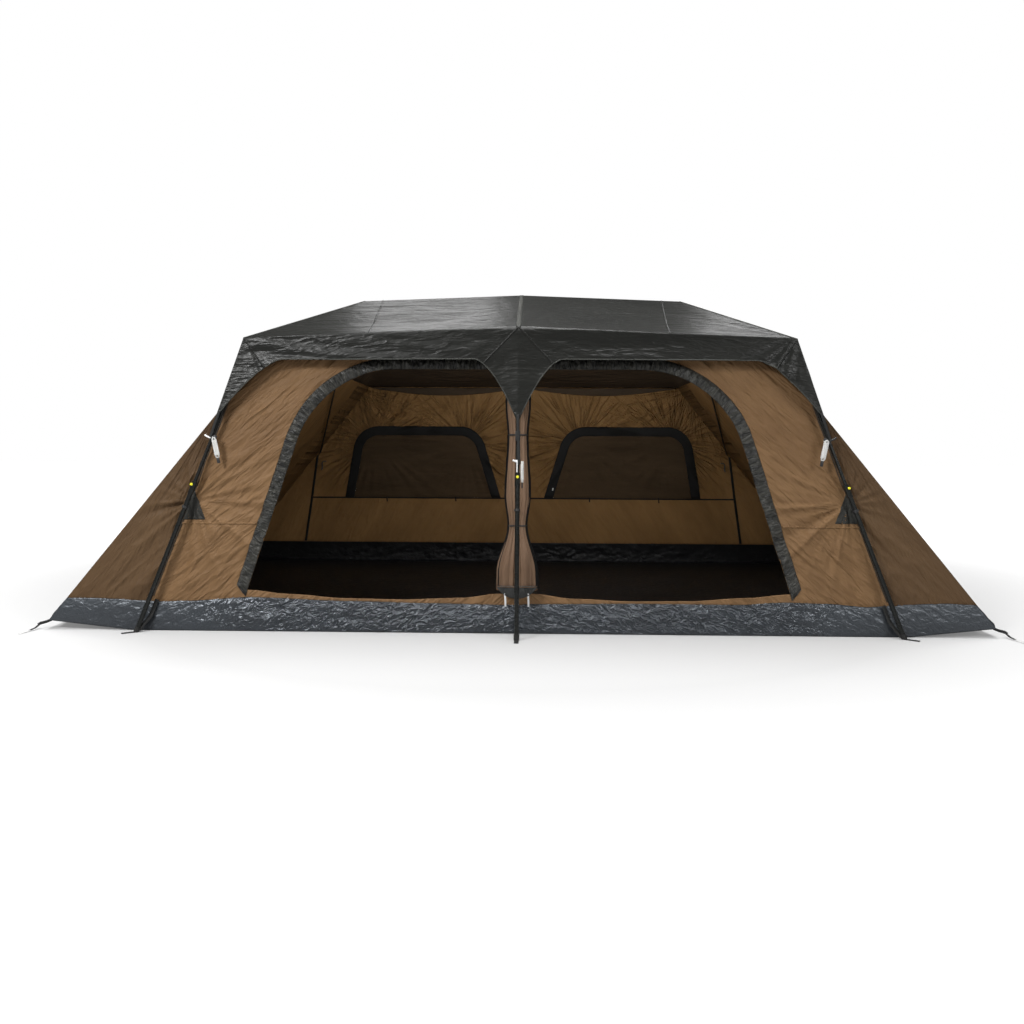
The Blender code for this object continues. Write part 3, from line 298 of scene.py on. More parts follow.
black_plastic, tree, shader = new_material("black_plastic")
where = add(tree, "TexCoord")
grain = add(tree, "TexNoise", {"Vector": where.outputs["Object"], "Scale": 900.0, "Detail": 2.0})
scuff = add(tree, "TexNoise",
            {"Vector": where.outputs["Object"], "Scale": 38.0, "Detail": 6.0, "Roughness": 0.7})
worn = add(tree, "MapRange", {"Value": scuff.outputs["Fac"], "From Min": 0.56, "From Max": 0.72})
shade = add(tree, "MixRGB", {"Fac": worn.outputs[0], "Color1": (0.014, 0.014, 0.015, 1.0),
                             "Color2": (0.050, 0.050, 0.050, 1.0)})
rough = add(tree, "MapRange", {"Value": scuff.outputs["Fac"], "To Min": 0.34, "To Max": 0.58})
lift = add(tree, "Bump", {"Height": grain.outputs["Fac"], "Strength": 0.3, "Distance": 0.0003})
tree.links.new(shade.outputs[0], shader.inputs["Base Color"])
tree.links.new(rough.outputs[0], shader.inputs["Roughness"])
tree.links.new(lift.outputs[0], shader.inputs["Normal"])

hank_points = hank_route()
for side, leg_name in LEG_NAMES.items():
    if side:
        strap_end = leg_at(side, CORNER_STRAP_Z) + Vector((-0.003 * side, -0.0125, 0.0))
        aside = Vector((-side * 0.019, -(0.001 + 0.0003 + CORD_R) - 3 * CORD_PITCH, 0.020))
        turn = Matrix.Rotation(side * math.radians(10.7), 4, "Y")
    else:
        strap_end = leg_at(0, CENTRE_STRAP_Z) + Vector((0.008, -0.0125, 0.0))
        aside = Vector((0.010 + 0.0003 + CORD_R, 0.008, 0.020))
        turn = Matrix.Rotation(-math.pi / 2, 4, "Z")
    hang = Matrix.Translation(strap_end + aside) @ turn
    route = [hang @ at for at in hank_points]
    cord = tube_along(f"guy_line_{leg_name}", route, CORD_R, braid, 2)

    # Its tie is a white elastic wrap round the middle; a black runner clips its lower end.
    pieces = []
    middle = Vector((0.0, 1.5 * CORD_PITCH, -HANK_LONG / 2))
    wrap_x, wrap_y = HANK_INNER_R + CORD_PITCH * HANK_TURNS + 0.0030, 1.5 * CORD_PITCH + 0.0024
    turns = []
    for k in range(WRAP_TURNS * WRAP_POINTS + 1):
        angle = math.tau * k / WRAP_POINTS
        spread = (k / (WRAP_TURNS * WRAP_POINTS) - 0.5) * WRAP_LONG
        turns.append(hang @ (middle + Vector((wrap_x * math.cos(angle), wrap_y * math.sin(angle), spread))))
    pieces.append(tube_along(f"guy_wrap_{leg_name}", turns, 0.0016, braid, 1))
    bm = bmesh.new()
    bmesh.ops.create_cube(bm, size=1.0)
    bmesh.ops.scale(bm, vec=(0.016, 0.008, 0.030), verts=bm.verts)
    bmesh.ops.bevel(bm, geom=bm.edges[:], offset=0.0022, segments=2, profile=0.5, affect="EDGES", material=-1)
    bmesh.ops.transform(bm, matrix=hang @ Matrix.Translation((0.0, 1.5 * CORD_PITCH, -HANK_LONG - 0.012)),
                        verts=bm.verts)
    pieces.append(new_piece(f"guy_runner_{leg_name}", bm, black_plastic))
    end = route[-1]
    knot = [end + Vector((0.0028 * math.sin(2 * a), 0.0022 * math.cos(3 * a) - 0.0022,
                          0.0032 * math.sin(3 * a))) for a in (math.tau * k / 36 for k in range(37))]
    pieces.append(tube_along(f"guy_knot_{leg_name}", knot, CORD_R, braid, 2))
    for piece in pieces:
        soft(piece)
    soft(cord)
    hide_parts(f"guy_hank_{leg_name}")
    tuple(route[0])

# The frame: powder-coated steel tube, 19 mm above and 25 mm below, that slides and folds in
# moulded nylon hubs and elbows. Each leg locks with a yellow button and stands in an end cap.
steel, tree, shader = new_material("black_powder_coat")
where = add(tree, "TexCoord")
peel = add(tree, "TexNoise", {"Vector": where.outputs["Object"], "Scale": 700.0, "Detail": 2.0})
scratch = add(tree, "TexNoise",
              {"Vector": where.outputs["Object"], "Scale": 22.0, "Detail": 8.0, "Roughness": 0.75})
worn = add(tree, "MapRange", {"Value": scratch.outputs["Fac"], "From Min": 0.60, "From Max": 0.74})
shade = add(tree, "MixRGB", {"Fac": worn.outputs[0], "Color1": (0.009, 0.010, 0.009, 1.0),
                             "Color2": (0.055, 0.055, 0.050, 1.0)})
rough = add(tree, "MapRange", {"Value": scratch.outputs["Fac"], "To Min": 0.20, "To Max": 0.36})
lift = add(tree, "Bump", {"Height": peel.outputs["Fac"], "Strength": 0.25, "Distance": 0.0003})
tree.links.new(shade.outputs[0], shader.inputs["Base Color"])
tree.links.new(rough.outputs[0], shader.inputs["Roughness"])
tree.links.new(lift.outputs[0], shader.inputs["Normal"])
shader.inputs["Metallic"].default_value = 0.35

yellow, tree, shader = new_material("yellow_button")
where = add(tree, "TexCoord")
grain = add(tree, "TexNoise", {"Vector": where.outputs["Object"], "Scale": 300.0, "Detail": 4.0})
shade = add(tree, "MixRGB", {"Fac": grain.outputs["Fac"], "Color1": (0.72, 0.66, 0.02, 1.0),
                             "Color2": (0.95, 0.90, 0.06, 1.0)})
lift = add(tree, "Bump", {"Height": grain.outputs["Fac"], "Strength": 0.2, "Distance": 0.0004})
tree.links.new(shade.outputs[0], shader.inputs["Base Color"])
tree.links.new(lift.outputs[0], shader.inputs["Normal"])
shader.inputs["Roughness"].default_value = 0.35

webbing, tree, shader = new_material("black_webbing")
where = add(tree, "TexCoord")
ribs = add(tree, "TexWave", {"Vector": where.outputs["Object"], "Scale": 170.0, "Distortion": 1.0},
           wave_type="BANDS", bands_direction="DIAGONAL")
fuzz = add(tree, "TexNoise", {"Vector": where.outputs["Object"], "Scale": 500.0, "Detail": 3.0})
shade = add(tree, "MixRGB", {"Fac": ribs.outputs["Fac"], "Color1": (0.005, 0.005, 0.005, 1.0),
                             "Color2": (0.019, 0.019, 0.018, 1.0)})
height = add(tree, "Math", {0: ribs.outputs["Fac"], 1: fuzz.outputs["Fac"]}, operation="ADD")
lift = add(tree, "Bump", {"Height": height.outputs[0], "Strength": 0.6, "Distance": 0.0005})
tree.links.new(shade.outputs[0], shader.inputs["Base Color"])
tree.links.new(lift.outputs[0], shader.inputs["Normal"])
shader.inputs["Roughness"].default_value = 0.8

for name, node in nodes.items():
    if name.endswith("_hub") or name.startswith("elbow"):
        node.data.materials[0] = black_plastic
    elif name.startswith("lock_button"):
        node.data.materials[0] = yellow
    elif name.startswith("foot"):
        node.data.materials[0] = webbing
    elif name.startswith(("ridge_pole", "roof_arm", "upper_leg", "lower_leg")):
        node.data.materials[0] = steel

# The groundsheet: a black floor, sewn to a glossy crinkled band that stands up the walls.
# Webbing straps run from its lifted corners, and from its edge to each foot.
WALL_HALF_X = 2.634
WALL_HALF_Y = 1.500
LEAN_X = 0.81603
LEAN_Y = 0.06282
TUB_TOP = 0.170
WALL_TOP = 1.560
FRONT_TUB_LINE = (
    (-2.60, 0.175), (-2.485, 0.176), (-2.323, 0.171), (-2.066, 0.160), (-1.916, 0.165), (-1.566, 0.187),
    (-0.934, 0.170), (-0.538, 0.163), (-0.049, 0.157), (0.115, 0.163), (0.742, 0.169), (1.262, 0.168),
    (1.538, 0.183), (1.780, 0.178), (2.001, 0.162), (2.221, 0.177), (2.456, 0.185), (2.60, 0.180),
)


def wall_x(z):
    return WALL_HALF_X - LEAN_X * z


def wall_y(z):
    return WALL_HALF_Y - LEAN_Y * z


def front_tub_top(x):
    """The height of the seam between the tub and the front wall."""
    for (x_a, z_a), (x_b, z_b) in zip(FRONT_TUB_LINE, FRONT_TUB_LINE[1:]):
        if x <= x_b:
            return z_a + (z_b - z_a) * smooth_step((x - x_a) / (x_b - x_a))
    return FRONT_TUB_LINE[-1][1]


def folds(point, seed):
    """A rounded fold of cloth: signed noise with its crests drawn in."""
    value = noise.noise(point + Vector((seed * 7.31, seed * 3.17, seed * 5.53)))
    return value * (1.0 + abs(value))


def creases(point, seed):
    """Sharp creases, from 0 to 1 on the crease."""
    value = noise.noise(point + Vector((seed * 5.17, seed * 9.13, seed * 2.71)))
    return (1.0 - min(1.0, abs(value) * 2.2)) ** 2


def sheet_grid(columns, rows, place, width, height):
    """Cloth as a grid: place(s, t) gives each point, and its UV map runs in metres."""
    bm = bmesh.new()
    bmesh.ops.create_grid(bm, x_segments=columns, y_segments=rows, size=0.5)
    uv = bm.loops.layers.uv.new("cloth")
    for face in bm.faces:
        for loop in face.loops:
            loop[uv].uv = ((loop.vert.co.x + 0.5) * width, (loop.vert.co.y + 0.5) * height)
    for vert in bm.verts:
        vert.co = place(vert.co.x + 0.5, vert.co.y + 0.5)
    return bm


def thickness(piece, amount, offset=-1.0, inner=0):
    """Gives an open sheet of cloth its thickness, and its inner side another material."""
    shell = piece.modifiers.new("thickness", "SOLIDIFY")
    shell.thickness = amount
    shell.offset = offset
    shell.material_offset = inner
    shell.material_offset_rim = inner
    return piece


crumple = bpy.data.node_groups.new("crumple", "ShaderNodeTree")
for socket, kind, value in (("Scale", "NodeSocketFloat", 8.0),
                            ("Stretch", "NodeSocketVector", (1.0, 1.0, 1.0)),
                            ("Turn", "NodeSocketVector", (0.0, 0.0, 0.0)), ("Sharp", "NodeSocketFloat", 0.5),
                            ("Bend", "NodeSocketFloat", 0.15)):
    crumple.interface.new_socket(socket, in_out="INPUT", socket_type=kind).default_value = value
for socket in ("Height", "Shade", "Fine"):
    crumple.interface.new_socket(socket, in_out="OUTPUT", socket_type="NodeSocketFloat")
given = crumple.nodes.new("NodeGroupInput")
where = add(crumple, "TexCoord")
split = add(crumple, "SeparateXYZ", {0: where.outputs["Object"]})
mirrored = add(crumple, "Math", {0: split.outputs["X"]}, operation="ABSOLUTE")
joined = add(crumple, "CombineXYZ",
             {"X": mirrored.outputs[0], "Y": split.outputs["Y"], "Z": split.outputs["Z"]})
turned = add(crumple, "Mapping", {"Vector": joined.outputs[0], "Rotation": given.outputs["Turn"],
                                  "Scale": given.outputs["Stretch"]}, vector_type="TEXTURE")
soft_noise = add(crumple, "TexNoise",
                 {"Vector": turned.outputs[0], "Scale": given.outputs["Scale"], "Detail": 4.0,
                  "Roughness": 0.55, "Distortion": given.outputs["Bend"]})
finer = add(crumple, "Math", {0: given.outputs["Scale"], 1: 2.3}, operation="MULTIPLY")
ridges = add(crumple, "TexNoise", {"Vector": turned.outputs[0], "Scale": finer.outputs[0], "Detail": 3.0,
                                   "Roughness": 0.5, "Distortion": given.outputs["Bend"]})
centred = add(crumple, "Math", {0: ridges.outputs["Fac"], 1: 0.5}, operation="SUBTRACT")
folded = add(crumple, "Math", {0: centred.outputs[0]}, operation="ABSOLUTE")
crest = add(crumple, "MapRange",
            {"Value": folded.outputs[0], "From Min": 0.0, "From Max": 0.16, "To Min": 1.0, "To Max": 0.0})
mixed = add(crumple, "Mix", {0: given.outputs["Sharp"], 2: soft_noise.outputs["Fac"], 3: crest.outputs[0]})
grain = add(crumple, "TexNoise", {"Vector": where.outputs["Object"], "Scale": 240.0, "Detail": 2.0})
patches = add(crumple, "TexNoise",
              {"Vector": turned.outputs[0], "Scale": 3.1, "Detail": 5.0, "Roughness": 0.6})
done = crumple.nodes.new("NodeGroupOutput")
crumple.links.new(mixed.outputs[0], done.inputs["Height"])
crumple.links.new(patches.outputs["Fac"], done.inputs["Shade"])
crumple.links.new(grain.outputs["Fac"], done.inputs["Fine"])

weave = bpy.data.node_groups.new("weave", "ShaderNodeTree")
weave.interface.new_socket("Threads", in_out="INPUT", socket_type="NodeSocketFloat").default_value = 500.0
weave.interface.new_socket("Height", in_out="OUTPUT", socket_type="NodeSocketFloat")
given = weave.nodes.new("NodeGroupInput")
where = add(weave, "UVMap", uv_map="cloth")
warp = add(weave, "TexWave", {"Vector": where.outputs[0], "Scale": given.outputs["Threads"]},
           wave_type="BANDS", bands_direction="X")
weft = add(weave, "TexWave", {"Vector": where.outputs[0], "Scale": given.outputs["Threads"]},
           wave_type="BANDS", bands_direction="Y")
over = add(weave, "Math", {0: warp.outputs["Fac"], 1: weft.outputs["Fac"]}, operation="MAXIMUM")
done = weave.nodes.new("NodeGroupOutput")
weave.links.new(over.outputs[0], done.inputs["Height"])


ruching = bpy.data.node_groups.new("ruching", "ShaderNodeTree")
for socket in ("Height", "Shade", "Fine"):
    ruching.interface.new_socket(socket, in_out="OUTPUT", socket_type="NodeSocketFloat")
where = add(ruching, "UVMap", uv_map="cloth")
squeezed = add(ruching, "Mapping", {"Vector": where.outputs[0], "Scale": (1.0, 0.16, 1.0)})
gathers = add(ruching, "TexNoise",
              {"Vector": squeezed.outputs[0], "Scale": 62.0, "Detail": 3.0, "Distortion": 0.8})
centred = add(ruching, "Math", {0: gathers.outputs["Fac"], 1: 0.5}, operation="SUBTRACT")
folded = add(ruching, "Math", {0: centred.outputs[0]}, operation="ABSOLUTE")
crest = add(ruching, "MapRange", {"Value": folded.outputs[0], "From Max": 0.14, "To Min": 1.0, "To Max": 0.0})
# The gathers' colour runs from dark to light with the same noise that shapes them: painted shade on one side
# of each fold.
tone = add(ruching, "MapRange",
           {"Value": gathers.outputs["Fac"], "From Min": 0.36, "From Max": 0.60, "To Min": 0.30,
            "To Max": 0.70})
grain = add(ruching, "TexNoise", {"Vector": where.outputs[0], "Scale": 300.0, "Detail": 2.0})
done = ruching.nodes.new("NodeGroupOutput")
ruching.links.new(crest.outputs[0], done.inputs["Height"])
ruching.links.new(tone.outputs[0], done.inputs["Shade"])
ruching.links.new(grain.outputs["Fac"], done.inputs["Fine"])


def cloth(name, light, dark, rough, scale, stretch, turn, depth, sharp=0.45, gloss=0.5, threads=420.0,
          group=None):
    """A woven cloth with soft folds and sharp creases along one direction, and its own sheen."""
    material, tree, shader = new_material(name)
    folds_node = add(tree, "Group", node_tree=group or crumple)
    if not group:
        folds_node.inputs["Scale"].default_value = scale
        folds_node.inputs["Stretch"].default_value = stretch
        folds_node.inputs["Turn"].default_value = [math.radians(a) for a in turn]
        folds_node.inputs["Sharp"].default_value = sharp
    weave_node = add(tree, "Group", node_tree=weave)
    weave_node.inputs["Threads"].default_value = threads
    tone = add(tree, "MapRange", {"Value": folds_node.outputs["Shade"], "From Min": 0.32, "From Max": 0.68})
    shade = add(tree, "MixRGB", {"Fac": tone.outputs[0], "Color1": (*dark, 1.0), "Color2": (*light, 1.0)})
    rub = add(tree, "MapRange", {"Value": folds_node.outputs["Fine"], "From Min": 0.3, "From Max": 0.7,
                                 "To Min": rough - 0.06, "To Max": rough + 0.06})
    weave_part = add(tree, "Math", {0: weave_node.outputs["Height"], 1: 0.00012}, operation="MULTIPLY")
    folds_part = add(tree, "Math", {0: folds_node.outputs["Height"], 1: depth, 2: weave_part.outputs[0]},
                     operation="MULTIPLY_ADD")
    lift = add(tree, "Bump", {"Height": folds_part.outputs[0], "Strength": 1.0, "Distance": 1.0})
    tree.links.new(shade.outputs[0], shader.inputs["Base Color"])
    tree.links.new(rub.outputs[0], shader.inputs["Roughness"])
    tree.links.new(lift.outputs[0], shader.inputs["Normal"])
    shader.inputs["Specular IOR Level"].default_value = gloss
    return material


tub_cloth = cloth("slate_tarpaulin", (0.016, 0.0195, 0.024), (0.009, 0.011, 0.014), 0.17, 11.0,
                  (1.7, 1.0, 1.0), (0.0, 24.0, 0.0), 0.0100, 0.75, 1.0)
# It is glossy and crumpled in front of the doors, dull and smoother on the wings.
tree = tub_cloth.node_tree
tree.nodes["Group"].inputs["Bend"].default_value = 0.35
tree.nodes["Principled BSDF"].inputs["Specular Tint"].default_value = (0.87, 0.93, 1.0, 1.0)
where = add(tree, "TexCoord")
split = add(tree, "SeparateXYZ", {0: where.outputs["Object"]})
wide = add(tree, "Math", {0: split.outputs["X"]}, operation="ABSOLUTE")
worn = add(tree, "MapRange", {"Value": wide.outputs[0], "From Min": 1.45, "From Max": 1.95, "To Max": 0.26})
smooth = tree.nodes["Principled BSDF"].inputs["Roughness"].links[0].from_socket
dulled = add(tree, "Math", {0: smooth, 1: worn.outputs[0]}, operation="ADD")
tree.links.new(dulled.outputs[0], tree.nodes["Principled BSDF"].inputs["Roughness"])
calm = add(tree, "MapRange",
           {"Value": wide.outputs[0], "From Min": 1.35, "From Max": 1.85, "To Min": 1.0, "To Max": 0.30})
bump = tree.nodes["Bump"]
calmed = add(tree, "Math", {0: bump.inputs["Height"].links[0].from_socket, 1: calm.outputs[0]},
             operation="MULTIPLY")
tree.links.new(calmed.outputs[0], bump.inputs["Height"])
floor_cloth = cloth("black_floor", (0.0070, 0.0072, 0.0080), (0.0040, 0.0042, 0.0046), 0.46, 9.0,
                    (1.5, 1.0, 1.0), (0.0, 0.0, 0.0), 0.0060, 0.6, 0.25)


def floor_place(s, t):
    x, y = (2.0 * s - 1.0) * WALL_HALF_X, (2.0 * t - 1.0) * WALL_HALF_Y
    corner = (abs(x) - 2.12) / 0.473 + (abs(y) - 1.15) / 0.347 - 1.0 if abs(x) > 2.12 else 0.0
    corner = min(1.0, max(0.0, corner))
    pull = 1.0 - 0.016 * corner
    ripple = 0.004 * max(0.0, folds(Vector((x * 1.6, y * 2.4, 0.0)), 1)) * (1.0 - abs(2.0 * s - 1.0) ** 8)
    return Vector((x * pull, y * pull, 0.05 * corner + ripple))


bm = sheet_grid(170, 100, floor_place, 2 * WALL_HALF_X, 2 * WALL_HALF_Y)
groundsheet = thickness(new_piece("groundsheet_floor", bm, floor_cloth), 0.0008, 1.0)
soft(groundsheet)
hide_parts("groundsheet")


def tub_place(s, t):
    """Once round the tub: the front from left to right, the right side, the back and the left side."""
    long, short = 2 * WALL_HALF_X, 2 * WALL_HALF_Y
    run = (s % 1.0) * 2.0 * (long + short)
    if run < long:
        x, y, face = run - WALL_HALF_X, -WALL_HALF_Y, "front"
    elif run < long + short:
        x, y, face = WALL_HALF_X, run - long - WALL_HALF_Y, "right"
    elif run < 2 * long + short:
        x, y, face = WALL_HALF_X - (run - long - short), WALL_HALF_Y, "back"
    else:
        x, y, face = -WALL_HALF_X, WALL_HALF_Y - (run - 2 * long - short), "left"
    if face in ("front", "back"):
        low = 0.05 * max(0.0, (abs(x) - 2.12) / 0.514)
    else:
        low = 0.05 * max(0.0, (abs(y) - 1.15) / 0.350)
    share_x, share_y = x / WALL_HALF_X, y / WALL_HALF_Y
    top = TUB_TOP + 0.005 + 0.003 * math.sin(run * 2.3)
    if face == "front":
        top = front_tub_top(x)
    high = low + (top - low) * t
    place = Vector((share_x * wall_x(high), share_y * wall_y(high), high))
    out = Vector((0.0, share_y, 0.0)) if face in ("front", "back") else Vector((share_x, 0.0, 0.0))
    belly = math.sin(math.pi * min(1.0, t * 1.05)) ** 0.7
    at = Vector((run * 9.0, high * 16.0, 0.0))
    rise = 0.0080 * folds(at, 2) + 0.0050 * folds(at * 2.4, 3)
    crinkle = 0.0065 * creases(Vector((run * 10.0 + high * 9.0, high * 22.0, 1.0)), 4)
    calm = 1.0 - 0.75 * smooth_step((abs(x) - 1.4) / 0.5) if face in ("front", "back") else 0.6
    bearing = math.atan2(high + 0.02, abs(x) + 0.001) * 6.5
    around_leg = folds(Vector((bearing, math.copysign(2.0, x), 0.0)), 8) * math.exp(-abs(x) / 0.28)
    swell = 0.006 * belly + belly * (calm * (rise + crinkle) + 0.012 * around_leg)
    return place + out * swell


bm = sheet_grid(1500, 17, tub_place, 2 * (2 * WALL_HALF_X + 2 * WALL_HALF_Y), 0.17)
bmesh.ops.remove_doubles(bm, verts=bm.verts, dist=0.0001)
bmesh.ops.recalc_face_normals(bm, faces=bm.faces)
tub = thickness(new_piece("groundsheet_tub", bm, tub_cloth, floor_cloth), 0.0008, -1.0, 1)
soft(tub)


def strip(name, line, width, thick, material, columns, rows=2, tree=None, lift=0.0, across=None, facing=None,
          bulge=0.0, ruche=0.0, seed=0, slant=0.0):
    """Tape or webbing along a line of points. It lies on the cloth of its tree, or else as across says."""
    lengths = [0.0]
    for a, b in zip(line, line[1:]):
        lengths.append(lengths[-1] + (b - a).length)
    total = lengths[-1]

    def at(share):
        goal = min(1.0, max(0.0, share)) * total
        for k in range(len(line) - 1):
            if goal <= lengths[k + 1]:
                return line[k].lerp(line[k + 1], (goal - lengths[k]) / (lengths[k + 1] - lengths[k]))
        return line[-1]

    def place(s, t):
        s += (slant * t if slant > 0.0 else slant * (t - 1.0)) * (1.0 - s) ** 16 / total
        middle = at(s)
        heading = (at(s + 0.01) - at(s - 0.01)).normalized()
        if tree:
            normal = facing or tree.find_nearest(middle)[1]
            side = normal.cross(heading).normalized()
            over = middle + side * (width * (t - 0.5))
            hit = tree.ray_cast(over + normal * 0.1, -normal, 0.2)[0] if facing else None
            spot = hit or tree.find_nearest(over)[0]
            profile = 1.0 - (2.0 * t - 1.0) ** 2
            gather = 0.0
            if ruche:
                run = s * total
                skewed = run + 0.35 * width * (t - 0.5)
                soft_fold = folds(Vector((skewed * 38.0, t * 1.6, 0.0)), seed)
                sharp_fold = creases(Vector((skewed * 55.0, t * 2.2, 3.0)), seed + 1)
                gather = (0.55 * soft_fold + 0.45 * sharp_fold) * ruche * (0.25 + profile)
            return spot + normal * (lift + bulge * profile + gather)
        return middle + across * (width * (t - 0.5))

    bm = sheet_grid(columns, rows, place, total, width)
    return thickness(new_piece(name, bm, material), thick, 1.0 if tree else 0.0)


# The webbing at the tub's corners: woven black strap sewn to the lifted corner, that takes a peg. It
# runs through a moulded ladder buckle, and its free tail ends in a white tag.
HANDS = {-1: "left", 0: "centre", 1: "right"}
ENDS = ((-1, "front"), (1, "back"))
SIDES = ((-1, "left"), (1, "right"))
for side in (-1, 1):
    for end, word in ENDS:
        hand = HANDS[side]
        corner = Vector((side * 2.580, end * 1.487, 0.052))
        bend = Vector((side * 2.646, end * 1.482, 0.030))
        stop = Vector((side * 2.662, end * 1.560, 0.006))
        line = [corner, corner.lerp(bend, 0.5) + Vector((0, 0, -0.002)), bend]
        soft(strip(f"corner_strap_{word}_{hand}", line, 0.016, 0.0016, webbing, 12, 2,
                   across=Vector((0, 0, 1.0))))
        way = (stop - bend).normalized()
        facing = Matrix((way, UP.cross(way).normalized(),
                         way.cross(UP.cross(way)).normalized())).transposed().to_4x4()
        bm = bmesh.new()
        for x, y, size in ((0.0, 0.011, (0.026, 0.004, 0.005)), (0.0, -0.011, (0.026, 0.004, 0.005)),
                           (0.011, 0.0, (0.004, 0.026, 0.005)), (0.0, 0.0, (0.004, 0.022, 0.005)),
                           (-0.011, 0.0, (0.004, 0.026, 0.005))):
            made = bmesh.ops.create_cube(bm, size=1.0)
            bmesh.ops.scale(bm, vec=size, verts=made["verts"])
            bmesh.ops.translate(bm, vec=(x, y, 0.0), verts=made["verts"])
        bmesh.ops.bevel(bm, geom=bm.edges[:], offset=0.0008, segments=2, profile=0.5, affect="EDGES",
                        material=-1)
        bmesh.ops.transform(bm, matrix=Matrix.Translation(bend) @ facing, verts=bm.verts)
        soft(new_piece(f"corner_buckle_{word}_{hand}", bm, black_plastic))
        line = [bend, bend.lerp(stop, 0.5) + Vector((0, 0, -0.006)), stop]
        soft(strip(f"corner_tail_{word}_{hand}", line, 0.014, 0.0014, webbing, 12, 2,
                   across=Vector((side, 0, 0))))
        line = [stop, stop + Vector((side * 0.008, end * 0.035, -0.002)),
                stop + Vector((side * 0.014, end * 0.074, -0.004))]
        soft(strip(f"corner_tag_{word}_{hand}", line, 0.016, 0.0012, plastic, 12, 2,
                   across=Vector((side, 0, 0))))

# The foot straps: a short length of woven black webbing from the tub's edge to each of the six end
# caps, that keeps the leg from sliding out. It hangs a little slack over the ground.
for side in (-1, 0, 1):
    for end, word in ENDS:
        hand = HANDS[side]
        foot = leg_at(side, 0.012, end)
        start = Vector((foot.x, end * (WALL_HALF_Y + 0.004), 0.010))
        line = [start, start.lerp(foot, 0.5) + Vector((0, 0, -0.004)), foot]
        soft(strip(f"foot_strap_{word}_{hand}", line, 0.020, 0.0016, webbing, 12, 2,
                   across=Vector((1.0, 0, 0))))

# The side walls: coated brown polyester, sewn to the tub below and pulled tight by the frame, with
# long shallow folds that fan out from the tops of the corner legs.
canvas = cloth("brown_canvas", (0.215, 0.124, 0.057), (0.140, 0.077, 0.034), 0.58, 7.0, (4.6, 1.0, 0.85),
               (0.0, 41.0, 0.0), 0.0125, 0.55, 0.20)
# The canvas's inner side is coloured more golden and saturated than its outer side: painted light for the
# light that shines through the cloth.
canvas_inside = cloth("brown_canvas_inside", (0.200, 0.111, 0.041), (0.133, 0.071, 0.024), 0.70, 6.0,
                      (3.4, 1.0, 0.9), (0.0, 60.0, 0.0), 0.0120, 0.45, 0.15)
side_canvas = cloth("brown_canvas_side", (0.155, 0.090, 0.043), (0.102, 0.057, 0.026), 0.58, 4.0,
                    (1.0, 1.2, 3.6), (0.0, 39.0, 0.0), 0.0060, 0.45, 0.20)
# The wings outside the corner legs have their colour darkened as painted shade, for panels turned away from
# the light, and are pulled straight down from the legs' tops.
tree = canvas.node_tree
where = add(tree, "TexCoord")
split = add(tree, "SeparateXYZ", {0: where.outputs["Object"]})
wide = add(tree, "Math", {0: split.outputs["X"]}, operation="ABSOLUTE")
past = add(tree, "Math", {0: split.outputs["Z"], 1: LEG_LEAN, 2: wide.outputs[0]}, operation="MULTIPLY_ADD")
# Painted shade: past the leg line the canvas colour is scaled down to about half.
wing = add(tree, "MapRange",
           {"Value": past.outputs[0], "From Min": 2.06, "From Max": 2.12, "To Min": 1.0, "To Max": 0.48})
colour = tree.nodes["Principled BSDF"].inputs["Base Color"].links[0].from_socket
wing_painted_shade = add(tree, "VectorMath", {0: colour, "Scale": wing.outputs[0]}, operation="SCALE")
tree.links.new(wing_painted_shade.outputs[0], tree.nodes["Principled BSDF"].inputs["Base Color"])
beside = add(tree, "Math", {0: wide.outputs[0], 1: 1.55}, operation="SUBTRACT")
below = add(tree, "Math", {0: 1.42, 1: split.outputs["Z"]}, operation="SUBTRACT")
angle = add(tree, "Math", {0: beside.outputs[0], 1: below.outputs[0]}, operation="ARCTAN2")
spread = add(tree, "Math", {0: angle.outputs[0], 1: 9.0}, operation="MULTIPLY")
reach = add(tree, "Math", {0: below.outputs[0], 1: 0.9}, operation="MULTIPLY")
fan_at = add(tree, "CombineXYZ", {"X": spread.outputs[0], "Y": reach.outputs[0]})
fan = add(tree, "TexNoise",
          {"Vector": fan_at.outputs[0], "Scale": 2.6, "Detail": 4.0, "Roughness": 0.5, "Distortion": 0.1})
past_leg = add(tree, "MapRange",
               {"Value": past.outputs[0], "From Min": 2.06, "From Max": 2.12, "To Min": 0.0, "To Max": 1.0})
fan_high = add(tree, "Math", {0: fan.outputs["Fac"], 1: 0.030}, operation="MULTIPLY")
bump = tree.nodes["Bump"]
calm = add(tree, "MapRange", {"Value": past_leg.outputs[0], "To Min": 1.0, "To Max": 0.22})
calmed = add(tree, "Math", {0: bump.inputs["Height"].links[0].from_socket, 1: calm.outputs[0]},
             operation="MULTIPLY")
joined = add(tree, "Math", {0: fan_high.outputs[0], 1: past_leg.outputs[0], 2: calmed.outputs[0]},
             operation="MULTIPLY_ADD")
tree.links.new(joined.outputs[0], bump.inputs["Height"])
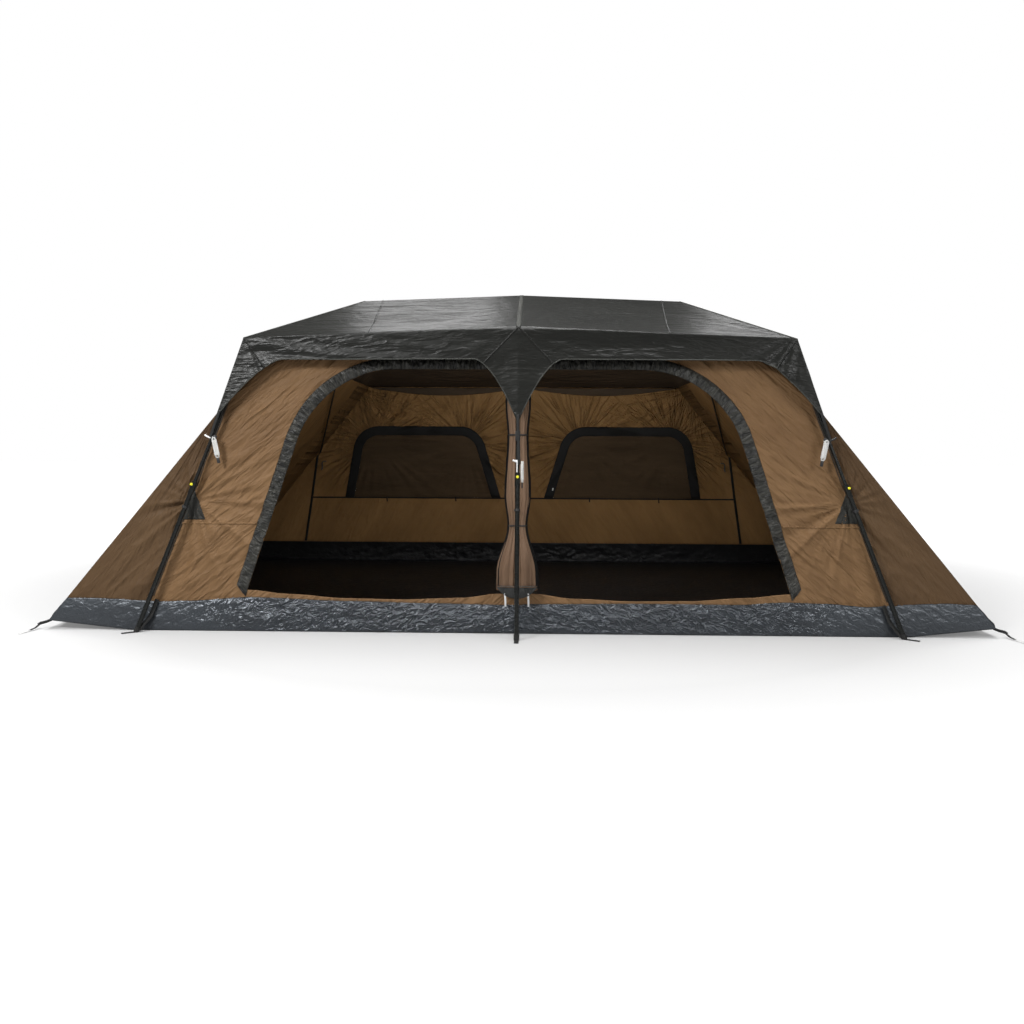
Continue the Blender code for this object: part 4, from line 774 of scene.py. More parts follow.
# Inside, folds fan out over the back wall from the windows' upper corners and from the ceiling's ends.
tree = canvas_inside.node_tree
where = add(tree, "TexCoord")
split = add(tree, "SeparateXYZ", {0: where.outputs["Object"]})
wide = add(tree, "Math", {0: split.outputs["X"]}, operation="ABSOLUTE")
half = add(tree, "Math", {0: split.outputs["X"], 1: 0.0}, operation="GREATER_THAN")
at_back = add(tree, "Math", {0: split.outputs["Y"], 1: 1.0}, operation="GREATER_THAN")
over_zip = add(tree, "MapRange", {"Value": split.outputs["Z"], "From Min": 0.52, "From Max": 0.70})
bump = tree.nodes["Bump"]
height = bump.inputs["Height"].links[0].from_socket
for apex_x, apex_z, high, reach in ((0.50, 1.08, 0.070, 0.80), (1.34, 1.08, 0.085, 0.80),
                                    (1.50, 1.56, 0.060, 0.95)):
    beside = add(tree, "Math", {0: wide.outputs[0], 1: apex_x}, operation="SUBTRACT")
    above = add(tree, "Math", {0: split.outputs["Z"], 1: apex_z}, operation="SUBTRACT")
    angle = add(tree, "Math", {0: beside.outputs[0], 1: above.outputs[0]}, operation="ARCTAN2")
    away = add(tree, "CombineXYZ", {"X": beside.outputs[0], "Y": above.outputs[0]})
    far = add(tree, "VectorMath", {0: away.outputs[0]}, operation="LENGTH")
    spread = add(tree, "Math", {0: angle.outputs[0], 1: 2.9}, operation="MULTIPLY")
    side_of = add(tree, "Math", {0: half.outputs[0], 1: 7.0, 2: apex_x}, operation="MULTIPLY_ADD")
    fan_at = add(tree, "CombineXYZ",
                 {"X": spread.outputs[0], "Y": far.outputs["Value"], "Z": side_of.outputs[0]})
    fan = add(tree, "TexNoise", {"Vector": fan_at.outputs[0], "Scale": 2.4, "Detail": 3.0, "Roughness": 0.45})
    fade = add(tree, "MapRange",
               {"Value": far.outputs["Value"], "From Min": 0.10, "From Max": reach, "To Min": high,
                "To Max": 0.0})
    kept = add(tree, "Math", {0: fade.outputs[0], 1: over_zip.outputs[0]}, operation="MULTIPLY")
    there = add(tree, "Math", {0: kept.outputs[0], 1: at_back.outputs[0]}, operation="MULTIPLY")
    beyond = add(tree, "Math", {0: fan.outputs["Fac"], 1: 0.5}, operation="SUBTRACT")
    bent = add(tree, "Math", {0: beyond.outputs[0]}, operation="ABSOLUTE")
    sharp = add(tree, "MapRange", {"Value": bent.outputs[0], "From Max": 0.06, "To Min": 0.30, "To Max": 0.0})
    folded = add(tree, "Math", {0: fan.outputs["Fac"], 1: sharp.outputs[0]}, operation="ADD")
    joined = add(tree, "Math", {0: folded.outputs[0], 1: there.outputs[0], 2: height},
                 operation="MULTIPLY_ADD")
    height = joined.outputs[0]
tree.links.new(height, bump.inputs["Height"])


def side_place(side):
    def place(s, t):
        z = TUB_TOP + (WALL_TOP - TUB_TOP) * t
        y = (2.0 * s - 1.0) * wall_y(z)
        edge = min(1.0, 8.0 * s, 8.0 * (1.0 - s), 10.0 * t, 10.0 * (1.0 - t))
        pull = folds(Vector((y * 2.2 + side, z * 1.1, 0.3)), 5) * 0.012
        for apex_y in (-1.45, 1.45):
            away = Vector((y - apex_y, z - 1.60))
            angle = math.atan2(away.y, away.x)
            spread_fold = folds(Vector((angle * 9.0, side * 3.0, away.length * 0.7)), 6)
            pull += 0.007 * spread_fold * math.exp(-away.length / 0.9)
        out = Vector((side, 0.0, LEAN_X)).normalized()
        return Vector((side * wall_x(z), y, z)) + out * (pull * edge - 0.004 * edge)
    return place


for side, word in SIDES:
    bm = sheet_grid(190, 110, side_place(side), 2.9, 1.8)
    if side < 0:
        bmesh.ops.reverse_faces(bm, faces=bm.faces)
    wall = thickness(new_piece(f"side_wall_{word}", bm, side_canvas, canvas_inside), 0.0008, -1.0, 1)
    soft(wall)
    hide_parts(f"{word}_wall")

# The back wall: brown canvas with two netting windows. A black binding frames each window, a
# zip runs under it for the rolled cover, and tapes follow the legs.
BACK_SEED = 20
WINDOW_SILL = 0.580
WINDOW_TOP = 1.135
WINDOW_LOW = (0.275, 1.515)
WINDOW_LEANS = (0.300, 0.190)
WINDOW_CORNER_R = 0.160
FRAME_WIDE = 0.080
FRAME_CORNER_R = 0.235
ZIP_Z = 0.576


def corner_arc(low_x, low_z, top_z, lean, radius, side, steps=14):
    """The arc in X and Z between a side that leans inwards and a level top."""
    tilt = math.atan(lean)
    centre_z = top_z - radius
    centre_x = low_x - side * (lean * (centre_z - low_z) + radius / math.cos(tilt))
    angles = [tilt + (math.pi / 2 - tilt) * k / steps for k in range(steps + 1)]
    return [(centre_x + side * radius * math.cos(a), centre_z + radius * math.sin(a)) for a in angles]


def window_outline(low_z, top_z, low_x, radius):
    up_right = corner_arc(low_x[1], low_z, top_z, WINDOW_LEANS[1], radius, 1)
    up_left = corner_arc(low_x[0], low_z, top_z, WINDOW_LEANS[0], radius, -1)
    return [(low_x[0], low_z), (low_x[1], low_z), *up_right, *reversed(up_left)]


def inside(outline, x, z):
    hit = False
    for (x_a, z_a), (x_b, z_b) in zip(outline, outline[1:] + outline[:1]):
        if (z_a > z) != (z_b > z) and x < (x_b - x_a) * (z - z_a) / (z_b - z_a) + x_a:
            hit = not hit
    return hit


def nearest_on(outline, x, z):
    best, found = 1e9, (x, z)
    for (x_a, z_a), (x_b, z_b) in zip(outline, outline[1:] + outline[:1]):
        dx, dz = x_b - x_a, z_b - z_a
        share = min(1.0, max(0.0, ((x - x_a) * dx + (z - z_a) * dz) / (dx * dx + dz * dz)))
        px, pz = x_a + dx * share, z_a + dz * share
        gap = math.hypot(px - x, pz - z)
        if gap < best:
            best, found = gap, (px, pz)
    return best, found


def trim(bm, outline, cell, keep_inside=False):
    """Cuts the cloth along an outline in X and Z, and draws its new edge onto the outline."""
    doomed = []
    for face in bm.faces:
        at = face.calc_center_median()
        if inside(outline, at.x, at.z) != keep_inside:
            doomed.append(face)
    bmesh.ops.delete(bm, geom=doomed, context="FACES")
    edge_verts = {vert for edge in bm.edges if edge.is_boundary for vert in edge.verts}
    for vert in edge_verts:
        gap, (x, z) = nearest_on(outline, vert.co.x, vert.co.z)
        if gap < cell * 1.2:
            vert.co.x, vert.co.z = x, z


def wall_point(x, z, end, out=0.0):
    """A point of the front or back wall's plane, out metres in front of it."""
    return Vector((x, end * (wall_y(z) + out), z))


def outward(end):
    return Vector((0.0, end, LEAN_Y)).normalized()


def back_pull(x, z):
    """How far the back wall's cloth stands out: folds fan out from the windows' upper corners."""
    pull = 0.004 * folds(Vector((x * 1.6, z * 1.2, 1.0)), BACK_SEED)
    for apex_x, reach in ((-1.32, 0.60), (-0.50, 0.55), (0.50, 0.55), (1.32, 0.60)):
        away = Vector((x - apex_x, z - 1.08))
        if away.length > 0.02:
            angle = math.atan2(away.y, away.x)
            fade = math.exp(-away.length / reach) * smooth_step((away.length - 0.19) / 0.12)
            fade *= smooth_step((z - 0.50) / 0.2)
            pull += 0.036 * folds(Vector((angle * 7.5, apex_x * 3.0, away.length * 0.4)), 22) * fade
            clear = max((z - 1.225) / 0.07, (abs(x) - 1.64) / 0.06, (0.17 - abs(x)) / 0.05)
            crease = creases(Vector((angle * 8.0, apex_x * 3.0, away.length * 0.5)), 24)
            pull -= 0.020 * crease * fade * smooth_step(clear)
    pull += 0.003 * creases(Vector((x * 5.0 + z * 4.0, z * 3.0 - x * 2.0, 2.0)), 23)
    return pull


def back_place(s, t):
    z = TUB_TOP + (WALL_TOP - TUB_TOP) * t
    x = (1.0 - 2.0 * s) * wall_x(z)
    edge = min(1.0, 12.0 * s, 12.0 * (1.0 - s), 12.0 * t, 10.0 * (1.0 - t))
    return wall_point(x, z, 1, (back_pull(x, z) - 0.003) * edge)


binding = cloth("black_binding", (0.0080, 0.0078, 0.0074), (0.0038, 0.0037, 0.0035), 0.66, 30.0,
                (1.0, 1.0, 1.0), (0.0, 0.0, 0.0), 0.0015, 0.4, 0.14)
netting = cloth("window_netting", (0.052, 0.033, 0.017), (0.030, 0.019, 0.009), 0.85, 9.0, (5.0, 1.0, 0.8),
                (0.0, 3.0, 0.0), 0.0090, 0.5, 0.15, 220.0)
tape = cloth("dark_brown_tape", (0.050, 0.036, 0.024), (0.026, 0.018, 0.012), 0.7, 40.0, (1.0, 1.0, 1.0),
             (0.0, 0.0, 0.0), 0.0012, 0.4, 0.3)

pane_outline = window_outline(WINDOW_SILL, WINDOW_TOP, WINDOW_LOW, WINDOW_CORNER_R)
bm = sheet_grid(400, 116, back_place, 4.9, 1.39)
for side in (-1, 1):
    trim(bm, [(side * x, z) for x, z in pane_outline], 0.0125)
back_tree = BVHTree.FromBMesh(bm)
wall = thickness(new_piece("wall_at_back", bm, canvas, canvas_inside), 0.0008, -1.0, 1)
soft(wall)
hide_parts("back_wall")


def pane_place(side):
    def place(s, t):
        share = 1.0 - s if side > 0 else s
        x = side * (WINDOW_LOW[0] - 0.01 + (WINDOW_LOW[1] - WINDOW_LOW[0] + 0.02) * share)
        z = WINDOW_SILL - 0.01 + (WINDOW_TOP - WINDOW_SILL + 0.02) * t
        edge = min(1.0, 6.0 * s, 6.0 * (1.0 - s), 6.0 * t, 6.0 * (1.0 - t))
        sag = 0.006 * folds(Vector((x * 1.6, z * 11.0, 4.0)), 25)
        sag += 0.003 * creases(Vector((x * 2.0, z * 18.0, 4.0)), 27)
        return wall_point(x, z, 1, back_pull(x, z) - 0.003 + sag * edge)
    return place


for side, word in SIDES:
    outline = [(side * x, z) for x, z in pane_outline]
    bm = sheet_grid(100, 46, pane_place(side), 1.25, 0.56)
    trim(bm, outline, 0.0130, keep_inside=True)
    pane = thickness(new_piece(f"window_net_{word}", bm, netting), 0.0006, -1.0)
    soft(pane)
    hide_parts(f"window_{word}")

    # The frame: a band from the zip up one side, over the top and down the other side.
    inner = [(WINDOW_LOW[1], WINDOW_SILL)] + pane_outline[2:] + [(WINDOW_LOW[0], WINDOW_SILL)]
    wide_low = (WINDOW_LOW[0] - FRAME_WIDE, WINDOW_LOW[1] + FRAME_WIDE)
    outer = window_outline(WINDOW_SILL, WINDOW_TOP + FRAME_WIDE, wide_low, FRAME_CORNER_R)
    outer = [(wide_low[1], WINDOW_SILL)] + outer[2:] + [(wide_low[0], WINDOW_SILL)]
    fine_inner, fine_outer = [], []
    for fine, rough_line in ((fine_inner, inner), (fine_outer, outer)):
        for k, ((x_a, z_a), (x_b, z_b)) in enumerate(zip(rough_line, rough_line[1:])):
            steps = 16 if k in (0, len(rough_line) // 2 - 1, len(rough_line) - 2) else 2
            fine += [(x_a + (x_b - x_a) * j / steps, z_a + (z_b - z_a) * j / steps) for j in range(steps)]
        fine.append(rough_line[-1])

    def frame_place(s, t):
        k = min(len(fine_inner) - 1, round(s * (len(fine_inner) - 1)))
        (x_a, z_a), (x_b, z_b) = fine_inner[k], fine_outer[k]
        x, z = x_a + (x_b - x_a) * t, z_a + (z_b - z_a) * t
        puff = 0.0010 * math.sin(math.pi * t) + 0.0008 * folds(Vector((x * 40.0, z * 40.0, t)), 26)
        return wall_point(side * x, z, 1, back_pull(side * x, z) - 0.005 - puff)

    bm = sheet_grid(len(fine_inner) - 1, 8, frame_place, 2.6, 0.08)
    bmesh.ops.recalc_face_normals(bm, faces=bm.faces)
    soft(thickness(new_piece(f"window_frame_{word}", bm, binding), 0.009, 0.0))
    zip_line = [wall_point(side * x, ZIP_Z, 1) for x in (0.07, 0.5, 1.0, 1.5, 1.90)]
    soft(strip(f"window_zip_{word}", zip_line, 0.013, 0.0060, binding, 90, 2, tree=back_tree, lift=-0.0035,
               facing=outward(1)))
    for x, drop in ((0.60, 0.030), (1.22, 0.036)):
        line = [wall_point(side * x, ZIP_Z + 0.012, 1, -0.012),
                wall_point(side * x + 0.004, ZIP_Z - drop, 1, -0.016)]
        soft(strip(f"cover_toggle_{word}_{round(x * 100)}", line, 0.010, 0.003, binding, 4, 1,
                   across=Vector((1, 0, 0))))
    line = [wall_point(side * 0.275, ZIP_Z + 0.095, 1, -0.012),
            wall_point(side * 0.272, ZIP_Z + 0.072, 1, -0.012)]
    soft(strip(f"zip_pull_{word}", line, 0.008, 0.003, plastic, 4, 2, across=Vector((1, 0, 0))))
    line = [wall_point(side * x, z, 1, -0.010)
            for x, z in ((1.966, 0.178), (1.900, 0.560), (1.868, 0.760), (1.836, 0.955))]
    soft(strip(f"leg_tape_inside_{word}", line, 0.020, 0.0030, binding, 60, 2, across=Vector((1, 0, 0))))
    line = [wall_point(side * 1.836, 0.952, 1, -0.012)]
    line += [Vector((side * (wall_x(z) - 0.034), y, z))
             for y, z in ((1.40, 0.975), (1.10, 1.11), (0.80, 1.24), (0.50, 1.37), (0.30, 1.46))]
    soft(strip(f"side_tape_inside_{word}", line, 0.020, 0.0030, binding, 60, 2,
               across=Vector((side, 0.0, LEAN_X)).cross(line[-1] - line[0]).normalized()))
    hook = [wall_point(side * x, z, 1, -0.014)
            for x, z in ((1.760, 0.900), (1.785, 0.900), (1.797, 0.886), (1.797, 0.835), (1.806, 0.822))]
    soft(tube_along(f"inside_hook_{word}", hook, 0.0055, black_plastic, 1))

# The front wall: the same canvas with a door opening on each side of the centre leg. A ruched
# band hides the zip, triangles reinforce the clips, and a seam runs under each corner leg.
DOOR_INNER_X = 0.045
DOOR_TOP = 1.440
DOOR_LOW_X = 1.492
DOOR_SILL = 0.205
DOOR_SIDE_LEAN = 0.330
DOOR_CORNER_R = 0.580
BAND_WIDE = 0.066
SILL_LINE = ((0.045, 0.222), (0.110, 0.218), (0.300, 0.194), (0.637, 0.182), (0.940, 0.186), (1.240, 0.206),
             (1.492, 0.228))
PATCH_APEX = (1.785, 0.777)
PATCH_BASE = ((1.718, 0.612), (1.844, 0.612))


def front_pull(x, z):
    """How far the pulled cloth stands out: creases run from the door down and out to the leg."""
    side = 1.0 if x > 0.0 else -1.0
    wide = abs(x)
    away = Vector((wide - PATCH_APEX[0], z - 0.72))
    angle = math.atan2(away.y, away.x)
    fan = folds(Vector((angle * 8.0, side * 4.0, away.length * 0.6)), 31) * math.exp(-away.length / 0.42)
    fan *= min(1.0, away.length / 0.10)
    across, along = wide * 0.66 + z * 0.75, wide * 0.75 - z * 0.66
    slant = folds(Vector((across * 8.0, along * 1.4, side * 5.0)), 32)
    sharp = creases(Vector((across * 17.0, along * 3.2, side * 5.0)), 33)
    tiny = creases(Vector((across * 34.0, along * 13.0, side * 5.0)), 36)
    leg_x = FOOT_X - LEG_LEAN * z
    steep = folds(Vector(((wide + 0.36 * z) * 15.0, z * 1.3, side * 6.0)), 34)
    wing = folds(Vector(((wide + 0.72 * z) * 12.0, z * 1.1, side * 6.0)), 35)
    low = smooth_step((0.64 - z) / 0.10) * (1.0 - smooth_step((wide - leg_x) / 0.06))
    past = smooth_step((wide - leg_x) / 0.08)
    groove = -0.006 * math.exp(-((wide - leg_x) / 0.018) ** 2)
    return (0.018 * fan + 0.0090 * slant * (1.0 - low) + 0.0060 * sharp + 0.0022 * tiny
            + 0.0100 * steep * low + 0.0090 * wing * past + groove)


def front_place(s, t):
    share = 2.0 * s - 1.0
    seam = front_tub_top(share * 2.50)
    low = seam - 0.010
    z = low + (WALL_TOP - low) * t ** 1.25
    x = share * wall_x(z)
    over = max(0.0, z - seam)
    edge = min(1.0, 22.0 * s, 22.0 * (1.0 - s), over / 0.09, 12.0 * (1.0 - t))
    pleats = (0.0030 * folds(Vector((x * 55.0, z * 6.0, 0.0)), 37) * smooth_step((0.26 - z) / 0.04)
              * smooth_step(over / 0.008) - 0.0022 * (1.0 - smooth_step(over / 0.006)))
    return wall_point(x, z, -1, front_pull(x, z) * edge + pleats)


def sill_at(x):
    for (x_a, z_a), (x_b, z_b) in zip(SILL_LINE, SILL_LINE[1:]):
        if x <= x_b:
            return z_a + (z_b - z_a) * smooth_step((x - x_a) / (x_b - x_a))
    return SILL_LINE[-1][1]


door_arc = corner_arc(DOOR_LOW_X, DOOR_SILL, DOOR_TOP, DOOR_SIDE_LEAN, DOOR_CORNER_R, 1, 24)
sill_points = [(DOOR_INNER_X + (DOOR_LOW_X - 0.008 - DOOR_INNER_X) * k / 30) for k in range(31)]
door_outline = [(x, sill_at(x)) for x in sill_points] + door_arc + [(DOOR_INNER_X, DOOR_TOP)]
bm = sheet_grid(540, 150, front_place, 4.9, 1.39)
for side in (-1, 1):
    trim(bm, [(side * x, z) for x, z in door_outline], 0.0115)
front_tree = BVHTree.FromBMesh(bm)
wall = thickness(new_piece("wall_at_front", bm, canvas, canvas_inside), 0.0008, -1.0, 1)
soft(wall)
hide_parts("front_wall")

# The band's colour is set dark overall, partly as painted shade for the shadow of the fly's valance over its
# top.
band_cloth = cloth("ruched_olive_band", (0.032, 0.031, 0.025), (0.006, 0.006, 0.005), 0.45, 34.0,
                   (1.0, 1.0, 1.0), (0.0, 40.0, 0.0), 0.0050, 0.6, 0.5, group=ruching)
patch_cloth = cloth("olive_patch", (0.024, 0.024, 0.020), (0.014, 0.014, 0.011), 0.55, 34.0, (1.0, 1.0, 1.0),
                    (0.0, 40.0, 0.0), 0.0030, 0.6, 0.4)


def band_line(side):
    """The middle of the band: up the leaning side of the door, round its corner and along its top."""
    half = BAND_WIDE / 2 - 0.002
    points = [(DOOR_LOW_X - DOOR_SIDE_LEAN * (z - DOOR_SILL), z) for z in (0.192, 0.36, 0.52, 0.68, 0.80)]
    points += door_arc + [(DOOR_INNER_X + 0.3, DOOR_TOP), (DOOR_INNER_X + 0.02, DOOR_TOP)]
    line = []
    for k, (x, z) in enumerate(points):
        (x_a, z_a), (x_b, z_b) = points[max(0, k - 1)], points[min(len(points) - 1, k + 1)]
        way = Vector((x_b - x_a, z_b - z_a)).normalized()
        line.append(wall_point(side * (x + way.y * half), z - way.x * half, -1))
    return line


for side, word in SIDES:
    band = strip(f"door_band_{word}", band_line(side), BAND_WIDE, 0.0012, band_cloth, 560, 10,
                 tree=front_tree, lift=0.0015, facing=outward(-1), bulge=0.005, ruche=0.0085, seed=41 + side,
                 slant=-0.045 * side)
    soft(band)

    def patch_place(s, t):
        x = PATCH_BASE[0][0] + (PATCH_BASE[1][0] - PATCH_BASE[0][0]) * s
        x = x + (PATCH_APEX[0] - x) * t * 0.94
        z = PATCH_BASE[0][1] + (PATCH_APEX[1] - PATCH_BASE[0][1]) * t
        at = wall_point(side * x, z, -1)
        spot = front_tree.ray_cast(at + outward(-1) * 0.1, -outward(-1), 0.2)[0] or at
        return spot + outward(-1) * (0.0022 + 0.0008 * folds(Vector((x * 60.0, z * 20.0, side)), 45))

    bm = sheet_grid(22, 22, patch_place, 0.125, 0.165)
    bmesh.ops.recalc_face_normals(bm, faces=bm.faces)
    soft(thickness(new_piece(f"clip_patch_{word}", bm, patch_cloth), 0.0012, 0.0))

    line = [wall_point(side * x, 0.592, -1) for x in (1.44, 1.55, 1.70, 1.85)]
    soft(strip(f"panel_seam_{word}", line, 0.010, 0.0010, canvas, 60, 2, tree=front_tree, lift=0.0008,
               facing=outward(-1), bulge=0.0012))
    line = [wall_point(side * (FOOT_X - LEG_LEAN * z), z, -1) for z in (0.19, 0.5, 0.9, 1.25)]
    soft(strip(f"leg_seam_{word}", line, 0.008, 0.0010, tape, 160, 2, tree=front_tree, lift=0.0006,
               facing=outward(-1)))
    line = [wall_point(side * 1.984, 0.172, -1, 0.008), wall_point(side * 2.010, 0.085, -1, 0.026),
            leg_at(side, 0.012) + Vector((-side * 0.012, -0.004, 0.0))]
    soft(strip(f"leg_strap_{word}", line, 0.022, 0.0016, webbing, 24, 2,
               across=Vector((0.93, 0, 0.36 * side))))

# The wall's clips: a webbing tab sewn to the wall holds a moulded black nylon hook, open on one side,
# that snaps round each of the six legs below its collar.
def leg_clip(name, side, end, z, tube_r, material, tab=True):
    """A C-shaped hook round a leg, with its tab back to the wall."""
    axis = leg_at(side, z, end)
    way = Vector((DOWN[side].x, DOWN[side].y * -end, DOWN[side].z)).normalized()
    frontal = Vector((0.0, end, 0.0))
    frontal = (frontal - way * frontal.dot(way)).normalized()
    across = way.cross(frontal)
    ring = tube_r + 0.0032
    points = []
    for k in range(25):
        angle = math.radians(215.0 + 290.0 * k / 24)
        points.append(axis + (frontal * -math.sin(angle) + across * math.cos(angle)) * ring)
    for shift in (-0.004, 0.0, 0.004):
        part = tube_along(f"{name}_ring_{round(shift * 1000 + 4)}", [at + way * shift for at in points],
                          0.0026, material, 1)
        soft(part)
    if not tab:
        return
    wall = Vector((axis.x - side * 0.004, end * (wall_y(z) + 0.003), z + 0.004))
    start = axis - frontal * (ring + 0.001)
    soft(strip(f"{name}_tab", [start, start.lerp(wall, 0.5) - UP * 0.002, wall], 0.014, 0.0018, webbing, 8, 2,
               across=Vector((1, 0, 0))))


for side in (-1, 0, 1):
    for end, word in ENDS:
        hand = HANDS[side]
        leg_clip(f"leg_clip_{word}_{hand}", side, end, 0.684, 0.0125, black_plastic)

# The cable flap: a square of the wall's canvas low on the left side, near its back end, bound in black
# on all four edges. It covers a dark port in the wall.
port_line = [Vector((-wall_x(z) - 0.012, 1.06, z)) for z in (0.60, 0.50, 0.40, 0.30)]
soft(strip("cable_flap", port_line, 0.25, 0.0015, side_canvas, 24, 20, across=Vector((0, 1, 0))))
port_line = [Vector((-wall_x(z) + 0.016, 1.06, z)) for z in (0.60, 0.50, 0.40, 0.30)]
soft(strip("cable_port_inside", port_line, 0.23, 0.003, binding, 12, 12, across=Vector((0, 1, 0))))
for edge_word, corners in (("top", ((0.935, 0.60), (1.185, 0.60))), ("low", ((0.935, 0.30), (1.185, 0.30))),
                           ("front", ((0.935, 0.60), (0.935, 0.30))),
                           ("back", ((1.185, 0.60), (1.185, 0.30)))):
    port_line = [Vector((-wall_x(z) - 0.0135, y, z)) for y, z in corners]
    runs_level = edge_word in ("top", "low")
    across = Vector((LEAN_X, 0.0, 1.0)).normalized() if runs_level else Vector((0.0, 1.0, 0.0))
    soft(strip(f"cable_flap_{edge_word}", port_line, 0.014, 0.0015, binding, 20, 2, across=across))

# Each door hangs gathered beside the centre leg: canvas in upright folds, with black tape on its
# outer edge, an elastic tie above and below, and one dark hem band that joins the two doors.
ROLL_EDGES = ((1.250, 0.060), (1.084, 0.048), (0.757, 0.063), (0.593, 0.045), (0.342, 0.106), (0.245, 0.108))
ROLL_TOP = 1.400
ROLL_LOW = 0.245
ROLL_GAP = 0.006
ROLL_FOLDS = 15
ROLL_INSIDE = 0.72
RING_POINTS = 40
HEM_HALF = 0.108
HEM_STEPS = 24


def roll_edge(z):
    for (z_a, edge_a), (z_b, edge_b) in zip(ROLL_EDGES, ROLL_EDGES[1:]):
        if z > z_b:
            return edge_a + (edge_b - edge_a) * smooth_step((z_a - z) / (z_a - z_b))
    return ROLL_EDGES[-1][1]


def roll_deep(z):
    return (roll_edge(z) - ROLL_GAP) / 4 + 0.010


def roll_place(side):
    """The gathered door in plan: pleats inside the bundle, then one turn round its front in broad folds."""
    def place(s, t):
        z = ROLL_LOW + (ROLL_TOP - ROLL_LOW) * t
        wide, deep = roll_edge(z) - ROLL_GAP, roll_deep(z)
        centre = Vector((ROLL_GAP + wide / 2, -wall_y(z) - 0.0015 - deep))
        u = min(1.0, s / ROLL_INSIDE)
        phase = u * ROLL_FOLDS * math.tau
        wave = math.cos(phase)
        wave = math.copysign(abs(wave) ** 0.7, wave)
        vary = 0.86 + 0.14 * folds(Vector((u * 14.0, z * 2.0, side)), 53)
        pleat = centre + Vector((wide * 0.82 * (u - 0.5 + 0.10 * math.sin(2.0 * phase) / ROLL_FOLDS),
                                 deep * 0.80 * wave * vary))
        if s <= ROLL_INSIDE:
            return Vector((side * pleat.x, pleat.y, z))
        v = (s - ROLL_INSIDE) / (1.0 - ROLL_INSIDE)
        a = math.radians(55.0 - 285.0 * v)
        lobes = math.cos(a * 9.0 + 1.2 * folds(Vector((side * 3.0, z * 1.4, 0.0)), 54))
        ripple = 0.115 * lobes + 0.06 * folds(Vector((a * 2.2, z * 3.0, side * 5.0)), 55)
        c, d = math.cos(a), math.sin(a)
        oval = Vector((math.copysign(abs(c) ** 0.75, c) * wide / 2,
                       math.copysign(abs(d) ** 0.75, d) * deep * 0.97))
        wrap = centre + oval * (0.95 + ripple)
        blend = smooth_step(v / 0.06)
        at = pleat.lerp(wrap, blend)
        return Vector((side * max(ROLL_GAP * 0.5, at.x), min(-wall_y(z) - 0.001, at.y), z))
    return place


def roll_ring(side, z, slack):
    """Points round the bundle at this height."""
    wide, deep = roll_edge(z) - ROLL_GAP, roll_deep(z)
    centre = Vector((side * (ROLL_GAP + wide / 2), -wall_y(z) - 0.0015 - deep, z))
    points = []
    for k in range(RING_POINTS):
        a = math.tau * k / RING_POINTS
        c, s = math.cos(a), math.sin(a)
        points.append(centre + Vector((math.copysign(abs(c) ** 0.7, c) * (wide / 2 + slack),
                                       math.copysign(abs(s) ** 0.7, s) * (deep * 0.96 + slack), 0.0)))
    return points


door_cloth = cloth("brown_door_canvas", (0.190, 0.116, 0.070), (0.125, 0.073, 0.042), 0.6, 16.0,
                   (1.0, 1.0, 3.5), (0.0, 0.0, 0.0), 0.0040, 0.4, 0.3)
tie_cloth = cloth("grey_elastic", (0.040, 0.039, 0.036), (0.020, 0.019, 0.018), 0.7, 60.0, (1.0, 1.0, 1.0),
                  (0.0, 0.0, 0.0), 0.0008, 0.3, 0.3, 900.0)
for side, word in SIDES:
    bm = sheet_grid(300, 84, roll_place(side), 1.45, 1.24)
    bmesh.ops.recalc_face_normals(bm, faces=bm.faces)
    door = thickness(new_piece(f"gathered_door_{word}", bm, door_cloth), 0.0006, 0.0)
    soft(door)
    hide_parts(f"rolled_door_{word}")
    line = []
    for k in range(24):
        z = ROLL_LOW + 0.01 + (ROLL_TOP - ROLL_LOW - 0.02) * k / 23
        line.append(Vector((side * (roll_edge(z) + 0.001), -wall_y(z) - 1.25 * roll_deep(z), z)))
    soft(strip(f"door_edge_tape_{word}", line, 0.026, 0.0016, binding, 70, 3,
               across=Vector((-side * 0.62, -0.78, 0.0))))
    for place_word, z in (("high", 1.084), ("low", 0.593)):
        ring = roll_ring(side, z, 0.0012)

        def tie_place(s, t):
            k = s * RING_POINTS
            a, b = ring[int(k) % RING_POINTS], ring[(int(k) + 1) % RING_POINTS]
            return a.lerp(b, k - int(k)) + Vector((0, 0, (t - 0.5) * 0.009))

        bm = sheet_grid(RING_POINTS, 2, tie_place, 0.17, 0.018)
        bmesh.ops.remove_doubles(bm, verts=bm.verts, dist=0.0002)
        bmesh.ops.recalc_face_normals(bm, faces=bm.faces)
        soft(thickness(new_piece(f"door_tie_{place_word}_{word}", bm, tie_cloth), 0.0016, 1.0))
        at = Vector((side * (roll_edge(z) - 0.012), -wall_y(z) - 2.0 * roll_deep(z) - 0.007, z))
        bm = bmesh.new()
        bmesh.ops.create_cone(bm, cap_ends=True, segments=12, radius1=0.004, radius2=0.004, depth=0.018)
        bmesh.ops.bevel(bm, geom=[e for e in bm.edges if abs(e.verts[0].co.z - e.verts[1].co.z) < 1e-6],
                        offset=0.001, segments=2, profile=0.5, affect="EDGES", material=-1)
        bmesh.ops.transform(bm, matrix=Matrix.Translation(at) @ Matrix.Rotation(math.radians(70), 4, "Y"),
                            verts=bm.verts)
        soft(new_piece(f"tie_toggle_{place_word}_{word}", bm, tie_cloth))

hem = []
for k in range(HEM_STEPS + 1):
    x = -HEM_HALF + 2 * HEM_HALF * k / HEM_STEPS
    y = -wall_y(0.25) - 2.0 * roll_deep(0.25) - 0.006 + 0.02 * (x / HEM_HALF) ** 6
    hem.append(Vector((x, y, 0.222 + 0.048 * (abs(x) / HEM_HALF) ** 1.8)))


